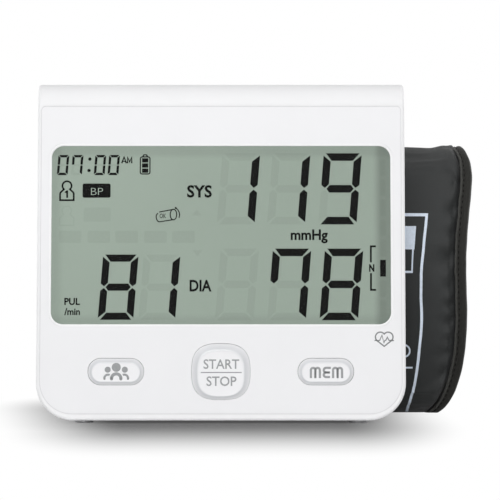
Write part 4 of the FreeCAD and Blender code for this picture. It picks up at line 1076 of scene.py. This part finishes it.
def binding_shape(side):
    """A tape folded round one end of the cuff: a rounded U carried along the loop, pressed in along its row
    of stitches."""
    reach = np.array([5.0, 5.0, 4.8, 4.4, 4.0, 3.6, 3.2, 2.6, 1.9, 1.2, 0.6, 0.2, 0.0, 0.2, 0.7, 1.5, 2.6,
                      3.6, 4.6, 5.3, 5.3])
    inset = np.array([2.6, 1.6, 1.0, 0.8, 0.82, 1.0, 0.8, 0.5, 0.35, 0.45, 0.9, 1.7, 2.9, 4.1, 5.0, 5.5,
                      5.7, 5.85, 5.7, 5.3, 4.6])
    wave = 0.08 * np.sin(edge_along * 0.21 + side) + 0.04 * np.sin(edge_along * 0.63 + 2.0 * side)
    free = 1.0 - np.clip(reach / 4.0, 0.0, 1.0)
    across = CUFF_X + side * (edge_end[:, None] - reach[None, :] + wave[:, None] * free[None, :] * 0.8)
    near_stitches = np.exp(-((reach - STITCH_IN) / 0.5) ** 2)[None, :]
    pulled = 0.18 * np.sin(edge_along * 2.0 * math.pi / 2.6)[:, None] * near_stitches
    depth = inset[None, :] + np.where(inset < 2.0, 1.0, 0.0)[None, :] * pulled - edge_fuller[:, None]
    y, z = loop_points(edge_turn[:, None], depth)
    points = on_floor(np.stack([across, y, z], -1) * MM)
    run = np.concatenate([[0.0], np.cumsum(np.hypot(np.diff(reach), np.diff(inset)))])
    uv = np.stack(np.broadcast_arrays(edge_along[:, None] * MM, run[None, :] * MM), -1).reshape(-1, 2)
    return sheet_of(points, close_columns=True, flip=side > 0), uv


def both_ends(one_end):
    """A sewn edge made for the right and the left end of the cuff, as one shape with its cloth lengths."""
    shapes, lengths = zip(*(one_end(side) for side in (1.0, -1.0)))
    return together(shapes), np.concatenate(lengths)


shape, uv = both_ends(binding_shape)
binding = make_piece("cuff_binding", shape, BINDING_TAPE, "cuff", uv)
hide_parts("cuff_edge_binding")


def piping_shape(side, radius=0.48, middle=1.0):
    """The piping in the seam: a round section carried along the loop between the cover and the tape."""
    ring = np.arange(10) * (2.0 * math.pi / 10)
    wave = 0.12 * np.sin(edge_along * 0.41 + side) + 0.08 * np.sin(edge_along * 1.1 + 3.0 * side)
    across = CUFF_X + side * (edge_end - PIPING_IN + wave)[:, None] + radius * np.cos(ring)[None, :]
    y, z = loop_points(edge_turn[:, None], middle - radius * np.sin(ring)[None, :] - edge_fuller[:, None])
    points = on_floor(np.stack([across, y, z], -1) * MM)
    uv = np.stack(np.broadcast_arrays(edge_along[:, None] * MM, ring[None, :] * radius * MM),
                  -1).reshape(-1, 2)
    return sheet_of(points, close_columns=True), uv


shape, uv = both_ends(piping_shape)
make_piece("cuff_seam_piping", shape, EDGE_PIPING, "cuff", uv)


def stitch_row(side, reach, inset, pitch=2.6, length=1.9, radius=0.21):
    """A row of sewn stitches: small capsules one after another along the tape, each a ring of six points
    swept along a short arched run that dips into the cloth at both ends."""
    count = int(edge_along[-1] / pitch) - 1
    start = (np.arange(count) + 0.6) * pitch
    step = np.linspace(-0.5, 0.5, 5)
    along = start[:, None] + step[None, :] * length
    angle = np.interp(along, edge_along, edge_turn)
    _, z = loop_points(angle, TAPE)
    x = CUFF_X + side * (cuff_half_width(z) - reach)
    lift = 0.12 - 0.5 * (2.0 * np.abs(step)) ** 3
    ring = np.arange(6) * (math.pi / 3)
    thick = radius * np.sqrt(np.clip(1.0 - (1.8 * step) ** 2, 0.05, 1.0))
    fuller = np.interp(along, edge_along, edge_fuller)
    depth = inset - lift[None, :, None] - thick[None, :, None] * np.sin(ring) - fuller[..., None]
    y, z = loop_points(angle[..., None] + 0 * depth, depth + 0 * angle[..., None])
    across = x[..., None] + thick[None, :, None] * np.cos(ring) * side
    points = on_floor(np.stack([across + 0 * y, y, z], -1) * MM)
    rows, columns = len(step), len(ring)
    i, j = np.meshgrid(np.arange(rows - 1), np.arange(columns), indexing="ij")
    quads = np.stack([i * columns + j, i * columns + (j + 1) % columns,
                      (i + 1) * columns + (j + 1) % columns, (i + 1) * columns + j], -1)
    quads = quads.reshape(1, -1, 4) + (np.arange(count) * rows * columns)[:, None, None]
    return points.reshape(-1, 3), [quads.reshape(-1, 4)]


make_piece("cuff_stitches", together([stitch_row(side, STITCH_IN, STITCH_DEEP) for side in (1.0, -1.0)]),
           THREAD, "cuff")


def strap_shape(path, half, thickness):
    """A cloth strap: a path in depth and height, given thickness along its normal and width along X, closed
    all round."""
    tangent = np.gradient(path, axis=0)
    tangent = tangent / np.hypot(*tangent.T)[:, None]
    normal = np.stack([tangent[:, 1], -tangent[:, 0]], 1)
    columns = np.linspace(-1.0, 1.0, 61)
    rounding = np.clip((np.abs(columns) * half - half + 0.8) / 0.8, 0.0, 1.0)
    offset = thickness / 2 * np.sqrt(np.clip(1.0 - rounding ** 2, 0.02, 1.0))
    lift = normal[:, None, :] * offset[None, :, None]
    x = np.broadcast_to((CUFF_X + columns * half)[None, :, None], (*lift.shape[:2], 1))
    front, back = (np.concatenate([x, path[:, None, :] + side * lift], -1) for side in (1.0, -1.0))
    return closed_band(front, back, np.concatenate([[0.0], np.cumsum(np.hypot(*np.diff(path, axis=0).T))]))


# the strap's path: out of the loop's lower end, round the ring's lower bar and down outside the loop
STRAP_THICK = 1.2
STRAP_WRAP = RING_WIRE + 0.9
root_turn = np.linspace(GAP_ANGLE * 1.7, GAP_ANGLE * 0.9, 8)
tail_turn = -np.linspace(GAP_ANGLE * 0.85, math.asin((CUFF_Z - TAIL_END) / SIDE_RADIUS) * 0.985, 60)
tail_path = np.concatenate([np.stack(loop_points(-root_turn, 2.2), 1),
                            round_path((RING_Y, CUFF_Z - RING_RISE), STRAP_WRAP, 200.0, 20.0),
                            np.stack(loop_points(tail_turn, -1.75), 1)])
shape, uv = strap_shape(tail_path, SLEEVE_HALF, STRAP_THICK)
tail = make_piece("cuff_tail", shape, CUFF_CLOTH, "cuff", uv)

# the sleeve's path: out of the loop's upper end, round the ring's upper bar and back over the loop
over_turn = np.linspace(GAP_ANGLE * 0.95, GAP_ANGLE * 2.2, 12)
sleeve_path = np.concatenate([np.stack(loop_points(root_turn, 2.2), 1),
                              round_path((RING_Y, CUFF_Z + RING_RISE), STRAP_WRAP, -200.0, -20.0),
                              np.stack(loop_points(over_turn, 0.1), 1)])
shape, uv = strap_shape(sleeve_path[::-1], SLEEVE_HALF, STRAP_THICK)
sleeve = make_piece("cuff_ring_sleeve", shape, CUFF_CLOTH, "cuff", uv)

# the fastener pads: half their width, their length, and how far below the ring's middle they start
PAD_HALF = 39.0
PAD_LENGTH = 40.0
PAD_TOP = 11.5


def pad_shape(outer, inner):
    """A flat fastener pad against the back of the loop, between the strap's end and the ring."""
    low, high = (math.asin(drop / SIDE_RADIUS) for drop in (CUFF_Z - TAIL_END, PAD_TOP))
    rows, columns = PAD_GRID
    return band_shape(-np.linspace(high, low, rows)[::-1], np.linspace(0.0, PAD_LENGTH, rows),
                      np.full(PAD_GRID, outer), np.full(PAD_GRID, inner), np.full(rows, CUFF_X - PAD_HALF),
                      np.full(rows, CUFF_X + PAD_HALF), np.linspace(0.0, 1.0, columns))


shape, uv = pad_shape(-1.05, -0.35)
hook = make_piece("cuff_hook_pad", shape, HOOK_PILE, "cuff", uv)
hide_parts("cuff_hook_patch")
shape, uv = pad_shape(-0.3, 0.4)
loops = make_piece("cuff_loop_pad", shape, LOOP_PILE, "cuff", uv)
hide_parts("cuff_loop_patch")


# Cuff print: guide lines and marks laid on the cover's front

PRINT_LIFT = 0.2
PRINT_RISE = 0.1
fine_loop = loop_turns(4000, GAP_ANGLE, 2.0 * math.pi - GAP_ANGLE)
cover_front = cover_points.reshape(len(cloth_turn), 2 * len(share), 3)[:, :len(share)]


def front_turn(z):
    """The facing angle on the front of the oval at a height: on the flat side, or on the fold below it."""
    side = np.clip((z - CUFF_Z) / SIDE_RADIUS, -math.sin(TURN_AT), math.sin(TURN_AT))
    fold = np.clip((z - CUFF_Z + SIDE_RISE) / FOLD_RADIUS, -1.0, 1.0)
    low = z < CUFF_Z - SIDE_RADIUS * math.sin(TURN_AT)
    return math.pi - np.where(low, np.arcsin(fold), np.arcsin(side))


def cover_print(x, z):
    """Points just above the cover's front at a place across and a height: the nearest four of its points
    weighed by how near they are, and lifted along the oval's own facing."""
    turn = front_turn(z + PRINT_RISE)
    row = np.clip(np.interp(turn, *fine_loop) / cloth_along[1], 0.0, len(cloth_turn) - 1.001)
    reach = np.interp(turn, cloth_turn, half)
    column = np.clip(np.interp((x - CUFF_X + reach) / (2.0 * reach), share, np.arange(len(share))), 0.0,
                     len(share) - 1.001)
    i, j = row.astype(int), column.astype(int)
    down, over = (row - i)[..., None], (column - j)[..., None]
    point = ((1 - down) * ((1 - over) * cover_front[i, j] + over * cover_front[i, j + 1])
             + down * ((1 - over) * cover_front[i + 1, j] + over * cover_front[i + 1, j + 1]))
    facing = np.stack([0.0 * turn, np.cos(turn), np.sin(turn)], -1)
    return point + facing * PRINT_LIFT * MM


def print_band(heights, left, right):
    """A printed strip between a left and a right line, up through the heights."""
    share = np.linspace(0.0, 1.0, 6)
    x = left[:, None] + (right - left)[:, None] * share
    return sheet_of(cover_print(x, np.broadcast_to(heights[:, None], x.shape)))


def print_ring(middle, low, radius, width):
    """A printed ring: two circles a line's width apart, joined all round."""
    angle = np.linspace(0.0, 2.0 * math.pi, 33)
    radii = np.array([radius - width, radius])
    return sheet_of(cover_print(middle + radii[None, :] * np.cos(angle)[:, None],
                                low + radii[None, :] * np.sin(angle)[:, None]), flip=True)


def guide_right(z):
    """The guide frame's right line at a height."""
    return eased(z, (2.0, 9.6, 16.6, 25.5, 34.5, 41.5, 52.3, 60.0, 74.85, 91.4),
                 (85.1, 87.2, 88.4, 89.5, 90.3, 90.8, 90.7, 90.6, 91.6, 93.3))


GUIDE_LEFT = 60.0
rise = np.linspace(91.4, 1.2, 150)
bar_rise = np.linspace(91.4, 90.0, 4)
block_rise = np.linspace(85.6, 75.1, 16)
box_rise = np.linspace(75.1, 64.4, 16)
foot_rise = np.linspace(65.4, 64.4, 4)
prints = [print_band(rise, guide_right(rise) - 1.25, guide_right(rise)),
          print_band(bar_rise, np.full(4, GUIDE_LEFT), guide_right(bar_rise)),
          print_band(block_rise, np.full(16, GUIDE_LEFT), np.linspace(87.7, 86.9, 16)),
          print_band(box_rise, np.linspace(85.9, 85.5, 16), np.linspace(86.6, 86.2, 16)),
          print_band(foot_rise, np.full(4, GUIDE_LEFT), np.full(4, 86.2)),
          print_ring(82.2, 29.1, 3.1, 0.75),
          print_band(np.linspace(21.9, 21.1, 4), np.full(4, 80.0), np.full(4, 86.3))]
make_piece("cuff_guide_print", together(prints), CUFF_INK, "cuff")


# Camera, floor and light

CAMERA_LENS = 198.95
CAMERA_PLACE = (0.0126, -1.21826, 0.07485)
camera_data = bpy.data.cameras.new("camera")
camera_data.sensor_width = 36.0
camera_data.lens = CAMERA_LENS
camera = bpy.data.objects.new("camera", camera_data)
camera.location = CAMERA_PLACE
camera.rotation_euler = (math.radians(90.0), 0.0, 0.0)
bpy.context.scene.collection.objects.link(camera)
bpy.context.scene.camera = camera

# The floor's tone where it is seen, which near the case is a painted shadow, and where it throws light back,
# and how much of its white still shows beside and under the case and in gloss
FLOOR_PAINTED_SHADOW = 0.075
FLOOR_THROWN = 0.8
FLOOR_LEAST_WHITE = 0.08
FLOOR_IN_GLOSS = 0.5
# where the painted shadow on the floor starts to run out into white and where the floor is white, in metres,
# and how the left side widens to the back
SHADOW_LEFT = (-0.036, -0.0945)
SHADOW_RIGHT = (0.0515, 0.1055)
SHADOW_FRONT = (-0.027, -0.232)
SHADOW_BACK = (0.06, 0.22)
SHADOW_WIDER_LEFT = (-0.077, 0.15, 0.0295)
FLOOR_HALF = 6.0
SKY_LIGHT = 0.2
WHITE = (1.0, 1.0, 1.0, 1.0)
floor_points = np.array([[[-FLOOR_HALF, -FLOOR_HALF, 0.0], [FLOOR_HALF, -FLOOR_HALF, 0.0]],
                         [[-FLOOR_HALF, FLOOR_HALF, 0.0], [FLOOR_HALF, FLOOR_HALF, 0.0]]])
floor_mesh = mesh_of("floor", sheet_of(floor_points), smooth=False)
floor = bpy.data.objects.new("floor", floor_mesh)
bpy.context.scene.collection.objects.link(floor)
floor_with_painted_shadow, tree, shader = new_finish("floor_with_painted_shadow")
ray = add_node(tree, "ShaderNodeLightPath").outputs
# the floor throws light back as a pale floor does, and is seen darker near the case as a painted shadow, in
# which its real shadow also shows
feed(tree, shader, {"Base Color": spread(tree, ray["Is Diffuse Ray"], FLOOR_PAINTED_SHADOW, FLOOR_THROWN),
                    "Roughness": 0.9, "Specular IOR Level": 0.1})
# away from the case the painted shadow runs out into the white backdrop, each side at its own pace
place = axes_of(tree, place_on(tree))
wider_start, wider_end, wider_by = SHADOW_WIDER_LEFT
wider = spread(tree, place["Y"], 0.0, wider_by, wider_start, wider_end)
left_side = worked(tree, "ADD", place["X"], wider)
left, right, front, back = (
    spread(tree, value, 0.0, 1.0, start, end) for value, (start, end) in (
        (left_side, SHADOW_LEFT), (place["X"], SHADOW_RIGHT), (place["Y"], SHADOW_FRONT),
        (place["Y"], SHADOW_BACK)))
reach = add_node(tree, "ShaderNodeCombineXYZ",
                 {"X": worked(tree, "ADD", left, right), "Y": worked(tree, "ADD", front, back)})
away = add_node(tree, "ShaderNodeVectorMath", {0: reach.outputs["Vector"]}, operation="LENGTH")
run_out = spread(tree, away.outputs["Value"], FLOOR_LEAST_WHITE, 1.0, kind="SMOOTHSTEP")
seen = worked(tree, "MULTIPLY_ADD", ray["Is Glossy Ray"], FLOOR_IN_GLOSS, ray["Is Camera Ray"])
seen = worked(tree, "ADD", seen, ray["Is Transmission Ray"])
glow = add_node(tree, "ShaderNodeEmission", {"Color": WHITE, "Strength": 1.0})
floor_mix = add_node(tree, "ShaderNodeMixShader", {"Fac": worked(tree, "MULTIPLY", run_out, seen),
                                                   1: shader.outputs["BSDF"], 2: glow.outputs["Emission"]})
feed(tree, tree.nodes["Material Output"], {"Surface": floor_mix.outputs["Shader"]})
floor_mesh.materials.append(floor_with_painted_shadow)

world = bpy.data.worlds.new("studio")
bpy.context.scene.world = world
world.use_nodes = True
tree = world.node_tree
# the sky is white where it is seen, and lights the part only a little
ray = add_node(tree, "ShaderNodeLightPath").outputs
seen = worked(tree, "MAXIMUM", ray["Is Camera Ray"], ray["Is Glossy Ray"])
seen = worked(tree, "MAXIMUM", seen, ray["Is Transmission Ray"])
feed(tree, tree.nodes["Background"], {"Color": WHITE, "Strength": spread(tree, seen, SKY_LIGHT, 1.0)})


def soft_lamp(name, place, aim, size, power):
    """A square soft light of a size at a place, turned to its aim."""
    data = bpy.data.lights.new(name, "AREA")
    data.shape = "SQUARE"
    data.size = size
    data.energy = power
    lamp = bpy.data.objects.new(name, data)
    lamp.location = place
    way = np.array(aim) - np.array(place)
    lamp.rotation_euler = (math.acos(-way[2] / np.linalg.norm(way)), 0.0,
                           math.atan2(way[1], way[0]) - math.pi / 2)
    bpy.context.scene.collection.objects.link(lamp)


soft_lamp("front_light", (-0.42, -2.4, 1.25), (0.0, 0.0, 0.07), 0.9, 30.9)
soft_lamp("side_light", (0.45, -2.4, 1.25), (0.03, 0.0, 0.07), 0.9, 14.8)
soft_lamp("top_light", (0.1, -0.2, 1.8), (0.0, 0.0, 0.05), 1.0, 4.4)
soft_lamp("back_left_light", (-1.7, 1.1, 0.5), (0.02, 0.04, 0.07), 0.8, 16.0)
soft_lamp("back_right_light", (1.7, 1.1, 0.5), (0.02, 0.04, 0.07), 0.8, 16.0)

bpy.context.scene.view_settings.view_transform = "Standard"
